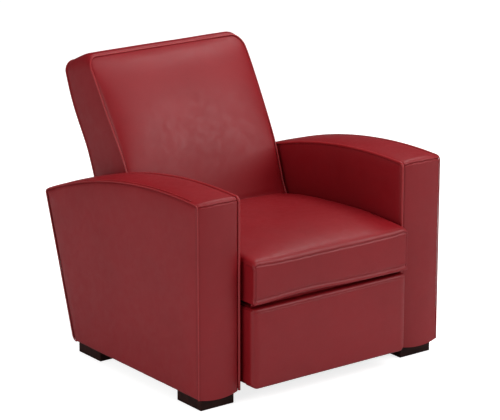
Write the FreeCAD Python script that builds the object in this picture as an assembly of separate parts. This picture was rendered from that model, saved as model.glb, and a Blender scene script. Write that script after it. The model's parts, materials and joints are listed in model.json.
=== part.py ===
"""Cinema recliner seat: a leather club armchair with a powered footrest and a powered reclining back.

Sizes are in millimetres. The sitter faces -Y, so the sitter's left is +X, and +Z is up from the floor.
While it is modelled, depth (Y) is measured from the front faces of the arms. save() then moves each
piece so that the origin lies on the floor under the middle of the chair.
"""
import FreeCAD, Part
import math
import os

V = FreeCAD.Vector

# Overall sizes
overall_width = 914.0
overall_depth = 986.0
back_height = 903.0

# Arms
arm_width = 152.0
arch_height = 633.0
arch_depth = 116.0
arch_radius = 1800.0
arm_short_of_back = 128.0
arm_rear_slant = 142.0
arm_rear_corner = 22.0
arm_front_corner = 8.0
cover_thickness = 14.0
board_thickness = 12.0
frame_gap = 0.3
foot_block_height = 45.0
foot_block_margin = 10.0

# Feet
foot_height = 40.0
foot_size = 120.0
foot_taper = 4.0
foot_inset = 16.0
front_foot_setback = 10.5
rear_foot_setback = 6.5

# Seat cushion
cushion_overhang = 49.0
cushion_side_gap = 12.0
cushion_front_height = 435.0
cushion_rear_height = 419.0
cushion_lip_height = 309.0
cushion_lip_depth = 17.0
cushion_crown = 28.0
cushion_edge_sag = 7.0
cushion_draw_in = 4.0
cushion_side_bow = 2.0
cushion_back_gap = 2.5

# Seat frame
seat_deck_height = 330.0
seat_rail_thickness = 29.0
seat_rail_width = 30.0
seat_front_rail_depth = -30.0
seat_front_rail_width = 40.0
seat_rail_gap = 2.0
deck_clearance = 0.5
spring_wire = 4.0
spring_count = 4
spring_waves = 5
spring_wave_width = 52.0
spring_lead = 0.04

# Chassis
tube_height = 45.0
tube_depth = 30.0
tube_wall = 2.5
front_tube_depth = 155.0
rear_tube_setback = 130.0
plate_thickness = 4.0
plate_setback = 26.0
plate_margin = 20.0
plate_top = 306.0
frame_stud_radius = 5.0
frame_stud_clearance = 0.4

# Footrest linkage
crank_pivot_depth = 50.0
crank_pivot_height = 284.0
crank_length = 205.0
crank_stow_angle = 98.0
footrest_travel = 90.0
rear_pivot_back = 46.0
rear_pivot_drop = 32.0
rear_stub_stand = 0.5
carrier_forward = 60.0
carrier_rise = 95.0
guide_spacing = 90.0
link_width = 22.0
link_thickness = 4.0
link_gap = 3.0
pin_radius = 5.0
rivet_stand = 1.0
back_stub_radius = 8.0
running_clearance = 0.05
open_pivot_clearance = 0.4
drive_tube_size = 20.0
drive_tube_wall = 2.0
drive_arm_length = 55.0
drive_arm_thickness = 6.0
cross_tube_radius = 8.0

# Footrest panel
footrest_projection = 47.0
footrest_top = 295.5
footrest_bottom = 48.0
footrest_foam = 25.0
footrest_board_thickness = 15.0
footrest_board_margin = 12.0
footrest_side_gap = 12.0
footrest_corner = 12.0
footrest_draw_in = 4.0
flange_reach = 30.0
flange_drop = 20.0
flange_rise = 5.0

# Back
back_side_gap = 13.0
back_reach = 302.0
back_pivot_height = 415.0
back_heel_radius = 88.0
back_heel_drop = 79.2
back_heel_front = 25.0
back_corner_radius = 45.0
back_rear_top_drop = 45.0
back_crown = 26.0
boxing_thickness = 7.0
boxing_setback = 10.0
rear_panel_thickness = 12.0
stile_width = 45.0
stile_thickness = 30.0
back_rail_height = 60.0
back_frame_drop = 45.0
back_bottom_height = 345.0
back_frame_gap = 4.0
pad_gap = 0.5
bracket_reach_low = 385.0
bracket_reach_high = 470.0
bracket_inset = 5.0
bracket_lap = 30.0
heel_side_gap = 6.0
relief_height = 490.0
relief_side = 4.0
relief_front = 8.0
pad_start_rise = 12.0
pad_least_thickness = 30.0
back_travel = 35.0
webbing_count = 3
webbing_width = 50.0
webbing_thickness = 2.0

# Places on the back, as depth behind its hinge and height above the floor
seam_start_place = (-86.0, 400.0)
seam_low_place = (-50.0, 518.0)
seam_knee_place = (-6.0, 620.0)
seam_high_place = (71.0, 738.0)
seam_top_setback = 162.0
rear_knee_place = (157.0, 522.0)
rear_foot_place = (97.0, 298.0)

# Actuators
actuator_radius = 16.0
rod_radius = 9.0
footrest_rod_offset = -70.0
back_rod_offset = 70.0
back_drive_arm_length = 190.0
drive_pin_radius = 5.0
drive_pin_stand = 4.0
drive_foot_thickness = 5.0
drive_foot_reach = 20.0
slot_clearance = 2.0
eye_wall = 6.0
eye_thickness = 10.0
eye_neck = 8.0
motor_radius = 24.0
rod_clearance = 0.5
rod_held = 30.0
tube_spare = 150.0
motor_length = 110.0
gearbox_size = 62.0
eye_room = 12.0
eye_side_gap = 0.5
clamp_thickness = 8.0
clamp_setback = 10.0
clamp_width = 30.0
hanger_thickness = 4.0
slot_spare = 1.0
rod_end_room = 2.0

# Rear valance and inlet
valance_gap = 12.0
valance_bottom = 60.0
valance_thickness = 12.0
inlet_width = 30.0
inlet_height = 18.0
inlet_flange = 4.0
inlet_flange_thickness = 2.0
inlet_stand_in = 12.0
inlet_wall = 4.0
inlet_socket_depth = 14.0
inlet_clearance = 0.2
inlet_pin_width = 2.0
inlet_pin_height = 6.0
inlet_pin_pitch = 10.0
inlet_pin_drop = 4.0
valance_side_gap = 1.0
inlet_offset = -150.0
inlet_level = 130.0

# Switch on the inner face of the sitter's right arm
switch_depth = 150.0
switch_level = 520.0
switch_width = 96.0
switch_height = 60.0
switch_flange = 3.0
switch_box_margin = 8.0
switch_box_depth = 22.0
switch_corner = 14.0
switch_box_clearance = 1.0
button_size = 18.0
button_pitch = 34.0
button_row_pitch = 24.0
button_height = 3.0
button_root = 6.0
button_clearance = 0.4
button_room = 2.0

# Far enough to cut past every piece, and just enough to cut past a face or to reach into a joined piece
beyond = 1500.0
lap = 1.0

# Sizes that follow from the ones above
half_width = overall_width / 2
back_rear = overall_depth - cushion_overhang
back_pivot_depth = back_rear - back_reach
arm_depth_at_top = back_rear - arm_short_of_back
arm_depth_at_foot = arm_depth_at_top - arm_rear_slant
front_foot_depth = front_foot_setback + foot_size / 2
rear_foot_depth = arm_depth_at_foot - rear_foot_setback - foot_size / 2
rear_tube_depth = back_pivot_depth - rear_tube_setback
inner_face = half_width - arm_width
arm_front_y = cushion_overhang - overall_depth / 2
cushion_half_width = inner_face - cushion_side_gap
footrest_half_width = inner_face - footrest_side_gap
back_half_width = inner_face - back_side_gap
cushion_rear = back_pivot_depth - back_heel_radius - cushion_back_gap
plate_face = inner_face - plate_setback
link_plane = plate_face - link_gap - link_thickness
carrier_plane = link_plane - link_gap - link_thickness
bracket_plane = carrier_plane - link_gap - link_thickness
seat_rail_offset = bracket_plane - seat_rail_gap - seat_rail_width
stile_offset = plate_face - link_gap - plate_thickness - stile_thickness
tube_top = seat_deck_height - seat_rail_thickness
tube_bottom = tube_top - tube_height
seam_start = (back_pivot_depth + seam_start_place[0], seam_start_place[1])
seam_low_mid = (back_pivot_depth + seam_low_place[0], seam_low_place[1])
seam_knee = (back_pivot_depth + seam_knee_place[0], seam_knee_place[1])
seam_high_mid = (back_pivot_depth + seam_high_place[0], seam_high_place[1])
seam_top_depth = back_pivot_depth + seam_top_setback
back_rear_foot = (back_pivot_depth + rear_foot_place[0], rear_foot_place[1])
back_rear_knee = (back_pivot_depth + rear_knee_place[0], rear_knee_place[1])
back_rear_top = (back_rear, back_height - back_rear_top_drop)


def save(name, pieces):
    """Write one sub-part, moved so that the origin is under the middle of the chair."""
    shape = pieces if isinstance(pieces, Part.Shape) else Part.Compound(list(pieces))
    shape = shape.copy()
    shape.translate(V(0, arm_front_y, 0))
    shape.exportStep(os.path.join("parts", name + ".step"))


def mirrored(shape):
    """The same piece on the sitter's right."""
    return shape.mirror(V(0, 0, 0), V(1, 0, 0))


def box(x_range, y_range, z_range):
    """A block between two places on each axis."""
    size = [high - low for low, high in (x_range, y_range, z_range)]
    return Part.makeBox(*size, V(x_range[0], y_range[0], z_range[0]))


def x_cylinder(radius, x_range, place):
    """A round bar along X at a (depth, height) place."""
    start = V(x_range[0], place[0], place[1])
    return Part.makeCylinder(radius, x_range[1] - x_range[0], start, V(1, 0, 0))


def side_prism(wire, x_range):
    """Extrude a closed side outline between two x positions."""
    prism = Part.Face(wire).extrude(V(x_range[1] - x_range[0], 0, 0))
    prism.translate(V(x_range[0], 0, 0))
    return prism


def side(place):
    """A (depth, height) place as a point of the side plane."""
    return V(0, place[0], place[1])


def side_wire(start, steps):
    """A closed side outline. A step is a corner, or a pair of a middle place and an end, for an arc."""
    edges = []
    here = start
    for step in list(steps) + [start]:
        if isinstance(step[0], tuple):
            edges.append(Part.Arc(side(here), side(step[0]), side(step[1])).toShape())
            here = step[1]
        elif math.dist(here, step) > 1e-6:
            edges.append(Part.LineSegment(side(here), side(step)).toShape())
            here = step
    return Part.Wire(edges)


def soft_corners(solid, places, radius):
    """Round the edges along X that pass through the given side places."""
    chosen = []
    for edge in solid.Edges:
        low = edge.Vertexes[0].Point
        high = edge.Vertexes[-1].Point
        along_x = abs(high.y - low.y) < 1e-6 and abs(high.z - low.z) < 1e-6
        if along_x and any(math.dist((low.y, low.z), place) < 1.0 for place in places):
            chosen.append(edge)
    return solid.makeFillet(radius, chosen)


def bar(first, second, width, x_range):
    """A flat link with round ends between two side places."""
    length = math.dist(first, second)
    across = (-(second[1] - first[1]) / length * width / 2, (second[0] - first[0]) / length * width / 2)
    along = (across[1], -across[0])
    corners = [(p[0] + s * across[0], p[1] + s * across[1]) for p, s in
               ((first, 1), (second, 1), (second, -1), (first, -1))]
    second_end = (second[0] + along[0], second[1] + along[1])
    first_end = (first[0] - along[0], first[1] - along[1])
    wire = side_wire(corners[0], [corners[1], (second_end, corners[2]), corners[3], (first_end, corners[0])])
    return side_prism(wire, x_range)


def circle_through(first, middle, last):
    """Centre and radius of the circle through three side places."""
    arc = Part.Arc(side(first), side(middle), side(last)).toShape().Curve
    return arc.Center.y, arc.Center.z, arc.Radius


def turned(place, pivot, degrees):
    """A side place turned about a pivot, from forward towards up."""
    angle = math.radians(degrees)
    depth = place[0] - pivot[0]
    height = place[1] - pivot[1]
    return (pivot[0] + depth * math.cos(angle) + height * math.sin(angle),
            pivot[1] - depth * math.sin(angle) + height * math.cos(angle))


def arch_level(depth, inset=0.0):
    """Height of the arm's arched top at a depth, or of the same arch drawn further in."""
    radius = arch_radius - inset
    return arch_height - arch_radius + math.sqrt(radius ** 2 - (depth - arch_depth) ** 2)


arm_lean = (arm_depth_at_top - arm_depth_at_foot) / (arch_level(arm_depth_at_top) - foot_height)


def arm_rear(height, inset=0.0):
    """Depth of the arm's leaning rear edge at a height."""
    straight = arm_depth_at_foot + arm_lean * (height - foot_height)
    return straight - inset * math.hypot(1.0, arm_lean)


def arm_outline(inset):
    """The arm's side outline, drawn in at the front, top and rear but not at the bottom."""
    corner = arm_depth_at_top
    for _ in range(20):
        corner = arm_rear(arch_level(corner, inset), inset)
    front_top = (inset, arch_level(inset, inset))
    middle = (corner / 2, arch_level(corner / 2, inset))
    rear_top = (corner, arch_level(corner, inset))
    rear_bottom = (arm_rear(foot_height, inset), foot_height)
    return side_wire((inset, foot_height), [front_top, (middle, rear_top), rear_bottom])


def feet_places():
    """X centre and depth centre of the two feet under the left arm."""
    x = half_width - foot_inset - foot_size / 2
    return [(x, front_foot_depth), (x, rear_foot_depth)]


def frame_stud_places():
    """Side places of the studs on the ends of the cross tubes, which hold the arms."""
    level = (tube_top + tube_bottom) / 2
    return [(front_tube_depth + tube_depth / 2, level), (rear_tube_depth + tube_depth / 2, level)]


def switch_cut():
    """The space that the switch box takes in the sitter's right arm."""
    return box((-inner_face - switch_box_depth, -inner_face + lap),
               (switch_depth - switch_width / 2 + switch_box_margin,
                switch_depth + switch_width / 2 - switch_box_margin),
               (switch_level - switch_height / 2 + switch_box_margin,
                switch_level + switch_height / 2 - switch_box_margin))


def arm_pieces():
    """Frame, covers and band of the left arm."""
    outer = (inner_face, half_width)
    band = side_prism(arm_outline(0), outer)
    corner_low = (arm_depth_at_foot, foot_height)
    corner_high = (arm_rear(arch_level(arm_depth_at_top)), arch_level(arm_depth_at_top))
    band = soft_corners(band, [corner_low], arm_rear_corner)
    band = soft_corners(band, [(0, foot_height), (0, arch_level(0)), corner_high], arm_front_corner)
    whole = band
    inside = side_prism(arm_outline(cover_thickness), outer)
    band = band.cut(inside)
    filled = whole.common(inside)
    inner_cover = filled.common(box((inner_face, inner_face + cover_thickness), (-lap, beyond), (0, beyond)))
    outer_cover = filled.common(box((half_width - cover_thickness, half_width), (-lap, beyond), (0, beyond)))
    cover_in = inner_face + cover_thickness + frame_gap
    cover_out = half_width - cover_thickness - frame_gap
    board_in = (cover_in, cover_in + board_thickness)
    board_out = (cover_out - board_thickness, cover_out)
    between = (board_in[1], board_out[0])
    board_inset = cover_thickness + frame_gap
    inner_board = side_prism(arm_outline(board_inset), board_in)
    outer_board = side_prism(arm_outline(board_inset), board_out)
    core = side_prism(arm_outline(board_inset), between)
    inset = board_inset + board_thickness
    hollow = side_prism(arm_outline(inset), between)
    under_top = box(between, (-lap, inset), (0, beyond))
    ring = core.cut(hollow)
    front_board = ring.common(under_top)
    rear_edge = side_wire((arm_rear(0, inset), 0), [
        (arm_rear(back_height, inset), back_height), (beyond, back_height), (beyond, 0)])
    rear_board = ring.cut(under_top).common(side_prism(rear_edge, between))
    top_board = ring.cut(front_board).cut(rear_board)
    blocks = []
    for x, depth in feet_places():
        reach = foot_size / 2 + foot_block_margin
        block = box(between, (depth - reach, depth + reach),
                    (foot_height, foot_height + foot_block_height))
        blocks.append(block.common(hollow))
    for place in frame_stud_places():
        way = x_cylinder(frame_stud_radius + frame_stud_clearance, (inner_face - lap, board_in[1] + lap), place)
        inner_cover = inner_cover.cut(way)
        inner_board = inner_board.cut(way)
    frame = [inner_board, outer_board, front_board, top_board, rear_board] + blocks
    return frame, outer_cover, inner_cover, band


def make_arms():
    """Both arms; the sitter's right arm also has the opening for the switch."""
    frame, outer_cover, inner_cover, band = arm_pieces()
    save("left_arm_frame", frame)
    save("left_arm_outer_cover", outer_cover)
    save("left_arm_inner_cover", inner_cover)
    save("left_arm_band", band)
    right_frame = [mirrored(piece) for piece in frame]
    right_frame[0] = right_frame[0].cut(switch_cut())
    save("right_arm_frame", right_frame)
    save("right_arm_outer_cover", mirrored(outer_cover))
    save("right_arm_inner_cover", mirrored(inner_cover).cut(switch_cut()))
    save("right_arm_band", mirrored(band))


def make_feet():
    """Four block feet that narrow a little towards the floor."""
    for end, (x, depth) in zip(("front", "rear"), feet_places()):
        low = foot_taper
        high = foot_size - foot_taper
        foot = Part.makeWedge(low, 0, low, 0, 0, high, foot_height, high, foot_size, foot_size)
        foot.rotate(V(0, 0, 0), V(1, 0, 0), 90)
        foot.translate(V(x - foot_size / 2, depth + foot_size / 2, 0))
        save("left_" + end + "_foot", foot)
        save("right_" + end + "_foot", mirrored(foot))


def make_seat():
    """Seat rails, springs and the crowned cushion."""
    side_rails = box((seat_rail_offset, seat_rail_offset + seat_rail_width),
                     (seat_front_rail_depth, rear_tube_depth + tube_depth), (tube_top, seat_deck_height))
    save("left_seat_rail", side_rails)
    save("right_seat_rail", mirrored(side_rails))
    cross = (-seat_rail_offset, seat_rail_offset)
    front_end = seat_front_rail_depth + seat_front_rail_width
    save("seat_front_rail", box(cross, (seat_front_rail_depth, front_end), (tube_top, seat_deck_height)))
    save("seat_rear_rail", box(cross, (rear_tube_depth, rear_tube_depth + tube_depth), (tube_top, seat_deck_height)))
    springs = []
    level = seat_deck_height - spring_wire / 2 - deck_clearance
    for index in range(spring_count):
        x = (index - (spring_count - 1) / 2) * 2 * seat_rail_offset / spring_count
        springs.append(spring_solid(V(x, front_end, level), V(x, rear_tube_depth, level),
                                    spring_waves, spring_wave_width, V(1, 0, 0)))
    save("seat_springs", springs)
    save("seat_cushion", seat_cushion())


def spring_solid(start, end, waves, width, axis):
    """The wire of a sinuous spring: a square section swept along straight runs and short bends."""
    step = (end - start) / waves
    across = V(axis).normalize() * (width / 2)
    lead = step * spring_lead
    places = [start, start + lead]
    for index in range(waves):
        sign = 1 if index % 2 == 0 else -1
        for share, reach in ((0.1, 0.7), (0.3, 1.0), (0.7, 1.0), (0.9, 0.7)):
            places.append(start + step * (index + share) + across * sign * reach)
    places += [end - lead, end]
    along = (places[1] - places[0]).normalize()
    lift = step.cross(V(axis)).normalize() * (spring_wire / 2)
    beside = along.cross(lift)
    corners = [places[0] + lift * a + beside * b for a, b in
               ((-1, -1), (1, -1), (1, 1), (-1, 1), (-1, -1))]
    path = Part.makePolygon(places)
    return path.makePipeShell([Part.makePolygon(corners)], True, False, 1)


def cushion_section(depth, half, low, edge, crown, draw_in):
    """A cushion's cross-section: flat below, sides drawn in, top crowned."""
    a = V(-half, depth, low)
    b = V(half, depth, low)
    c = V(half, depth, edge)
    d = V(-half, depth, edge)
    middle = (low + edge) / 2
    return Part.Wire([
        Part.LineSegment(a, b).toShape(),
        Part.Arc(b, V(half - draw_in, depth, middle), c).toShape(),
        Part.Arc(c, V(0, depth, edge + crown), d).toShape(),
        Part.Arc(d, V(-half + draw_in, depth, middle), a).toShape(),
    ])


def seat_cushion():
    """The seat cushion: crowned top, drawn-in sides and a lip over the front rail."""
    depth_range = cushion_rear + cushion_overhang
    sections = []
    for share, rise, crown in ((0.0, 0.0, -cushion_edge_sag), (0.05, 0.35, 0.35 * cushion_crown),
                               (0.2, 0.6, 0.9 * cushion_crown), (0.45, 0.45, cushion_crown),
                               (0.75, 0.2, 0.65 * cushion_crown), (1.0, 0.0, 0.2 * cushion_crown)):
        depth = -cushion_overhang + share * depth_range
        slope = cushion_front_height + share * (cushion_rear_height - cushion_front_height)
        edge = slope + rise * cushion_crown / 2
        pull = cushion_draw_in * (1 - abs(2 * share - 1))
        sections.append(cushion_section(depth, cushion_half_width - pull, cushion_lip_height, edge, crown,
                                        cushion_side_bow))
    cushion = Part.makeLoft(sections, True, True)
    under = box((-half_width, half_width), (cushion_lip_depth - cushion_overhang, beyond),
                (0, seat_deck_height))
    return cushion.cut(under)


# The footrest linkage: two cranks on the side plate, the carrier, the guide and the footrest's bracket
# make two parallelograms, so every turn keeps a ratio of exactly one.
stow = math.radians(crank_stow_angle)
crank_way = (-math.cos(stow), -math.sin(stow))
crank_pivot = (crank_pivot_depth, crank_pivot_height)
rear_pivot = (crank_pivot[0] + rear_pivot_back, crank_pivot[1] - rear_pivot_drop)
crank_end = (crank_pivot[0] + crank_length * crank_way[0], crank_pivot[1] + crank_length * crank_way[1])
rear_end = (crank_end[0] + rear_pivot_back, crank_end[1] - rear_pivot_drop)
footrest_pivot = (crank_end[0] - carrier_forward, crank_end[1] + carrier_rise)
guide_pivot = (crank_end[0] - guide_spacing * crank_way[0], crank_end[1] - guide_spacing * crank_way[1])
guide_end = (footrest_pivot[0] - guide_spacing * crank_way[0], footrest_pivot[1] - guide_spacing * crank_way[1])
drive_pin_place = turned((crank_pivot[0], crank_pivot[1] - drive_arm_length), crank_pivot, -footrest_travel / 2)
back_pivot = (back_pivot_depth, back_pivot_height)
back_pin_place = turned((back_pivot[0], back_pivot[1] - back_drive_arm_length), back_pivot, -back_travel / 2)


def rivet(place, x_range):
    """A plain rivet along X."""
    return x_cylinder(pin_radius, x_range, place)


def hole(place, x_range, clearance):
    """The hole that a rivet passes through."""
    return x_cylinder(pin_radius + clearance, (x_range[0] - lap, x_range[1] + lap), place)


def make_linkage():
    """Links, drive tube and cross tube of the footrest mechanism."""
    link = (link_plane, link_plane + link_thickness)
    carrier = (carrier_plane, carrier_plane + link_thickness)
    bracket = (bracket_plane, bracket_plane + link_thickness)
    outer_end = link[1] + rivet_stand
    inner_end = carrier[0] - rivet_stand
    middle_end = carrier[1] + rivet_stand

    front_link = bar(crank_pivot, crank_end, link_width, link)
    for place in (crank_pivot, crank_end, guide_pivot):
        front_link = front_link.cut(hole(place, link, running_clearance))
    save("left_front_link", front_link)
    save("right_front_link", mirrored(front_link))

    rear_link = bar(rear_pivot, rear_end, link_width, link).cut(hole(rear_pivot, link, running_clearance))
    rear_link = rear_link.fuse(rivet(rear_end, (inner_end, link[0] + lap)))
    save("left_rear_link", rear_link)
    save("right_rear_link", mirrored(rear_link))

    carrier_link = bar(rear_end, crank_end, link_width, carrier)
    carrier_link = carrier_link.fuse(bar(crank_end, footrest_pivot, link_width, carrier)).removeSplitter()
    carrier_link = carrier_link.cut(hole(rear_end, carrier, open_pivot_clearance))
    carrier_link = carrier_link.cut(hole(footrest_pivot, carrier, running_clearance))
    carrier_link = carrier_link.fuse(rivet(crank_end, (carrier[1] - lap, outer_end)))
    save("left_carrier_link", carrier_link)
    save("right_carrier_link", mirrored(carrier_link))
    tube_place = ((crank_end[0] + rear_end[0]) / 2, (crank_end[1] + rear_end[1]) / 2)
    save("carrier_cross_tube", x_cylinder(cross_tube_radius, (-carrier[0], carrier[0]), tube_place))

    guide = bar(guide_pivot, guide_end, link_width, carrier).cut(hole(guide_end, carrier, open_pivot_clearance))
    guide = guide.fuse(rivet(guide_pivot, (carrier[1] - lap, outer_end)))
    save("left_guide_link", guide)
    save("right_guide_link", mirrored(guide))

    board_back = footrest_foam + footrest_board_thickness - footrest_projection
    wing = bar(footrest_pivot, guide_end, link_width, bracket)
    foot = box(bracket, (board_back, footrest_pivot[0]), (footrest_pivot[1] - link_width / 2, guide_end[1]))
    flange = box((bracket[0] - flange_reach, bracket[1]), (board_back, board_back + link_thickness),
                 (footrest_pivot[1] - link_width / 2 - flange_drop, guide_end[1] + flange_rise))
    wing = wing.fuse(foot).fuse(flange).removeSplitter()
    for place in (footrest_pivot, guide_end):
        wing = wing.fuse(rivet(place, (bracket[1] - lap, middle_end)))
    save("left_footrest_bracket", wing)
    save("right_footrest_bracket", mirrored(wing))

    half = drive_tube_size / 2
    tube = box((-link[0], link[0]), (crank_pivot[0] - half, crank_pivot[0] + half),
               (crank_pivot[1] - half, crank_pivot[1] + half))
    bore = half - drive_tube_wall
    tube = tube.cut(box((-link[0] - lap, link[0] + lap), (crank_pivot[0] - bore, crank_pivot[0] + bore),
                        (crank_pivot[1] - bore, crank_pivot[1] + bore)))
    arm_far = footrest_rod_offset - eye_thickness / 2 - eye_side_gap
    arm_range = (arm_far - drive_arm_thickness, arm_far)
    arm = bar(crank_pivot, drive_pin_place, link_width, arm_range)
    arm = arm.cut(box((arm_range[0] - lap, arm_range[1] + lap), (crank_pivot[0] - half, crank_pivot[0] + half),
                      (crank_pivot[1] - half, crank_pivot[1] + half)))
    pin_end = footrest_rod_offset + eye_thickness / 2 + drive_pin_stand
    drive_pin = x_cylinder(drive_pin_radius, (arm_range[0], pin_end), drive_pin_place)
    save("drive_tube", tube.fuse(arm).fuse(drive_pin))


def make_footrest():
    """Board and pad of the footrest panel."""
    pad_back = footrest_foam - footrest_projection
    board = box((-footrest_half_width + footrest_board_margin, footrest_half_width - footrest_board_margin),
                (pad_back, pad_back + footrest_board_thickness),
                (footrest_bottom + footrest_board_margin, footrest_top - footrest_board_margin))
    save("footrest_board", board)
    front = -footrest_projection
    bend = footrest_corner * (1 - math.sqrt(0.5))
    rings = [footrest_ring(front, footrest_corner), footrest_ring(front + bend, bend),
             footrest_ring(front + footrest_corner, 0), footrest_ring(pad_back, 0)]
    save("footrest_pad", Part.makeLoft(rings, True, True))


def footrest_ring(depth, inset):
    """The footrest pad's outline at a depth: round corners, and edges that bow in between them."""
    half = footrest_half_width - inset
    low = footrest_bottom + inset
    high = footrest_top - inset
    middle = (low + high) / 2
    corner = footrest_corner
    bend = corner * (1 - math.sqrt(0.5))
    draw = footrest_draw_in
    stops = [V(-half + corner, depth, low), V(half - corner, depth, low), V(half, depth, low + corner),
             V(half, depth, high - corner), V(half - corner, depth, high), V(-half + corner, depth, high),
             V(-half, depth, high - corner), V(-half, depth, low + corner)]
    middles = [V(0, depth, low + draw / 2), V(half - bend, depth, low + bend), V(half - draw, depth, middle),
               V(half - bend, depth, high - bend), V(0, depth, high - draw / 2),
               V(-half + bend, depth, high - bend), V(-half + draw, depth, middle),
               V(-half + bend, depth, low + bend)]
    return Part.Wire([Part.Arc(stops[i], middles[i], stops[(i + 1) % 8]).toShape() for i in range(8)])


def pad_section(height, half, front, rear, crown):
    """A level section of an upright pad: rear and sides flat, front crowned."""
    a = V(-half, rear, height)
    b = V(-half, front, height)
    c = V(half, front, height)
    d = V(half, rear, height)
    return Part.Wire([
        Part.LineSegment(a, b).toShape(),
        Part.Arc(b, V(0, front - crown, height), c).toShape(),
        Part.LineSegment(c, d).toShape(),
        Part.LineSegment(d, a).toShape(),
    ])


def seam_depth(height):
    """Depth of the seam round the back's front pad at a height."""
    if height <= back_pivot_height:
        drop = min(back_pivot_height - height, back_heel_drop)
        return back_pivot_depth - math.sqrt(back_heel_radius ** 2 - drop ** 2)
    if height < seam_knee[1]:
        arc = circle_through(seam_start, seam_low_mid, seam_knee)
    else:
        arc = circle_through(seam_knee, seam_high_mid, (seam_top_depth, back_height))
    offset = math.sqrt(max(arc[2] ** 2 - (height - arc[1]) ** 2, 0.0))
    return arc[0] + math.copysign(offset, seam_knee[0] - arc[0])


def back_outline(inset, front_shift=0.0):
    """Side outline of the upholstered back, drawn in at the top and rear."""
    start = (seam_depth(back_pivot_height) + front_shift, back_pivot_height)
    low_mid = (seam_low_mid[0] + front_shift, seam_low_mid[1])
    knee = (seam_knee[0] + front_shift, seam_knee[1])
    high_mid = (seam_high_mid[0] + front_shift, seam_high_mid[1])
    top_level = back_height - inset
    top = (seam_depth(top_level) + front_shift, top_level)
    rear_top = (back_rear_top[0] - inset, back_rear_top[1] - inset)
    rear_knee = (back_rear_knee[0] - inset, back_rear_knee[1])
    rear_foot = (back_rear_foot[0] - inset, back_rear_foot[1])
    front_foot = (back_pivot_depth - back_heel_radius / 2, back_rear_foot[1])
    return side_wire(start, [(low_mid, knee), (high_mid, top), rear_top, rear_knee, rear_foot,
                             (back_pivot_depth + back_heel_radius / 2, back_rear_foot[1]),
                             (back_pivot_depth + back_heel_radius / 2, back_pivot_height)])


def front_silhouette(inset):
    """The back's outline seen from the front, with rounded top corners, as a prism along Y."""
    half = back_half_width - inset
    top = back_height - inset
    corner = back_corner_radius - inset
    bend = corner * (1 - math.sqrt(0.5))
    low = 0
    wire = Part.Wire([
        Part.LineSegment(V(-half, 0, low), V(-half, 0, top - corner)).toShape(),
        Part.Arc(V(-half, 0, top - corner), V(-half + bend, 0, top - bend), V(-half + corner, 0, top)).toShape(),
        Part.LineSegment(V(-half + corner, 0, top), V(half - corner, 0, top)).toShape(),
        Part.Arc(V(half - corner, 0, top), V(half - bend, 0, top - bend), V(half, 0, top - corner)).toShape(),
        Part.LineSegment(V(half, 0, top - corner), V(half, 0, low)).toShape(),
        Part.LineSegment(V(half, 0, low), V(-half, 0, low)).toShape(),
    ])
    return Part.Face(wire).extrude(V(0, beyond, 0))


def rear_line(height, offset):
    """Depth of a line parallel to the back's rear face, at a distance in front of it."""
    low, high = (back_rear_foot, back_rear_knee) if height < back_rear_knee[1] else (back_rear_knee, back_rear_top)
    share = (height - low[1]) / (high[1] - low[1])
    slope = (high[0] - low[0]) / (high[1] - low[1])
    return low[0] + share * (high[0] - low[0]) - offset * math.hypot(1.0, slope)


def leaning_strip(low, high, near, far):
    """Side outline between two offsets from the rear face and two heights."""
    knee = back_rear_knee[1]
    levels = [low] + ([knee] if low < knee < high else []) + [high]
    rear = [(rear_line(level, near), level) for level in levels]
    front = [(rear_line(level, far), level) for level in reversed(levels)]
    return side_wire(rear[0], rear[1:] + front)


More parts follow.
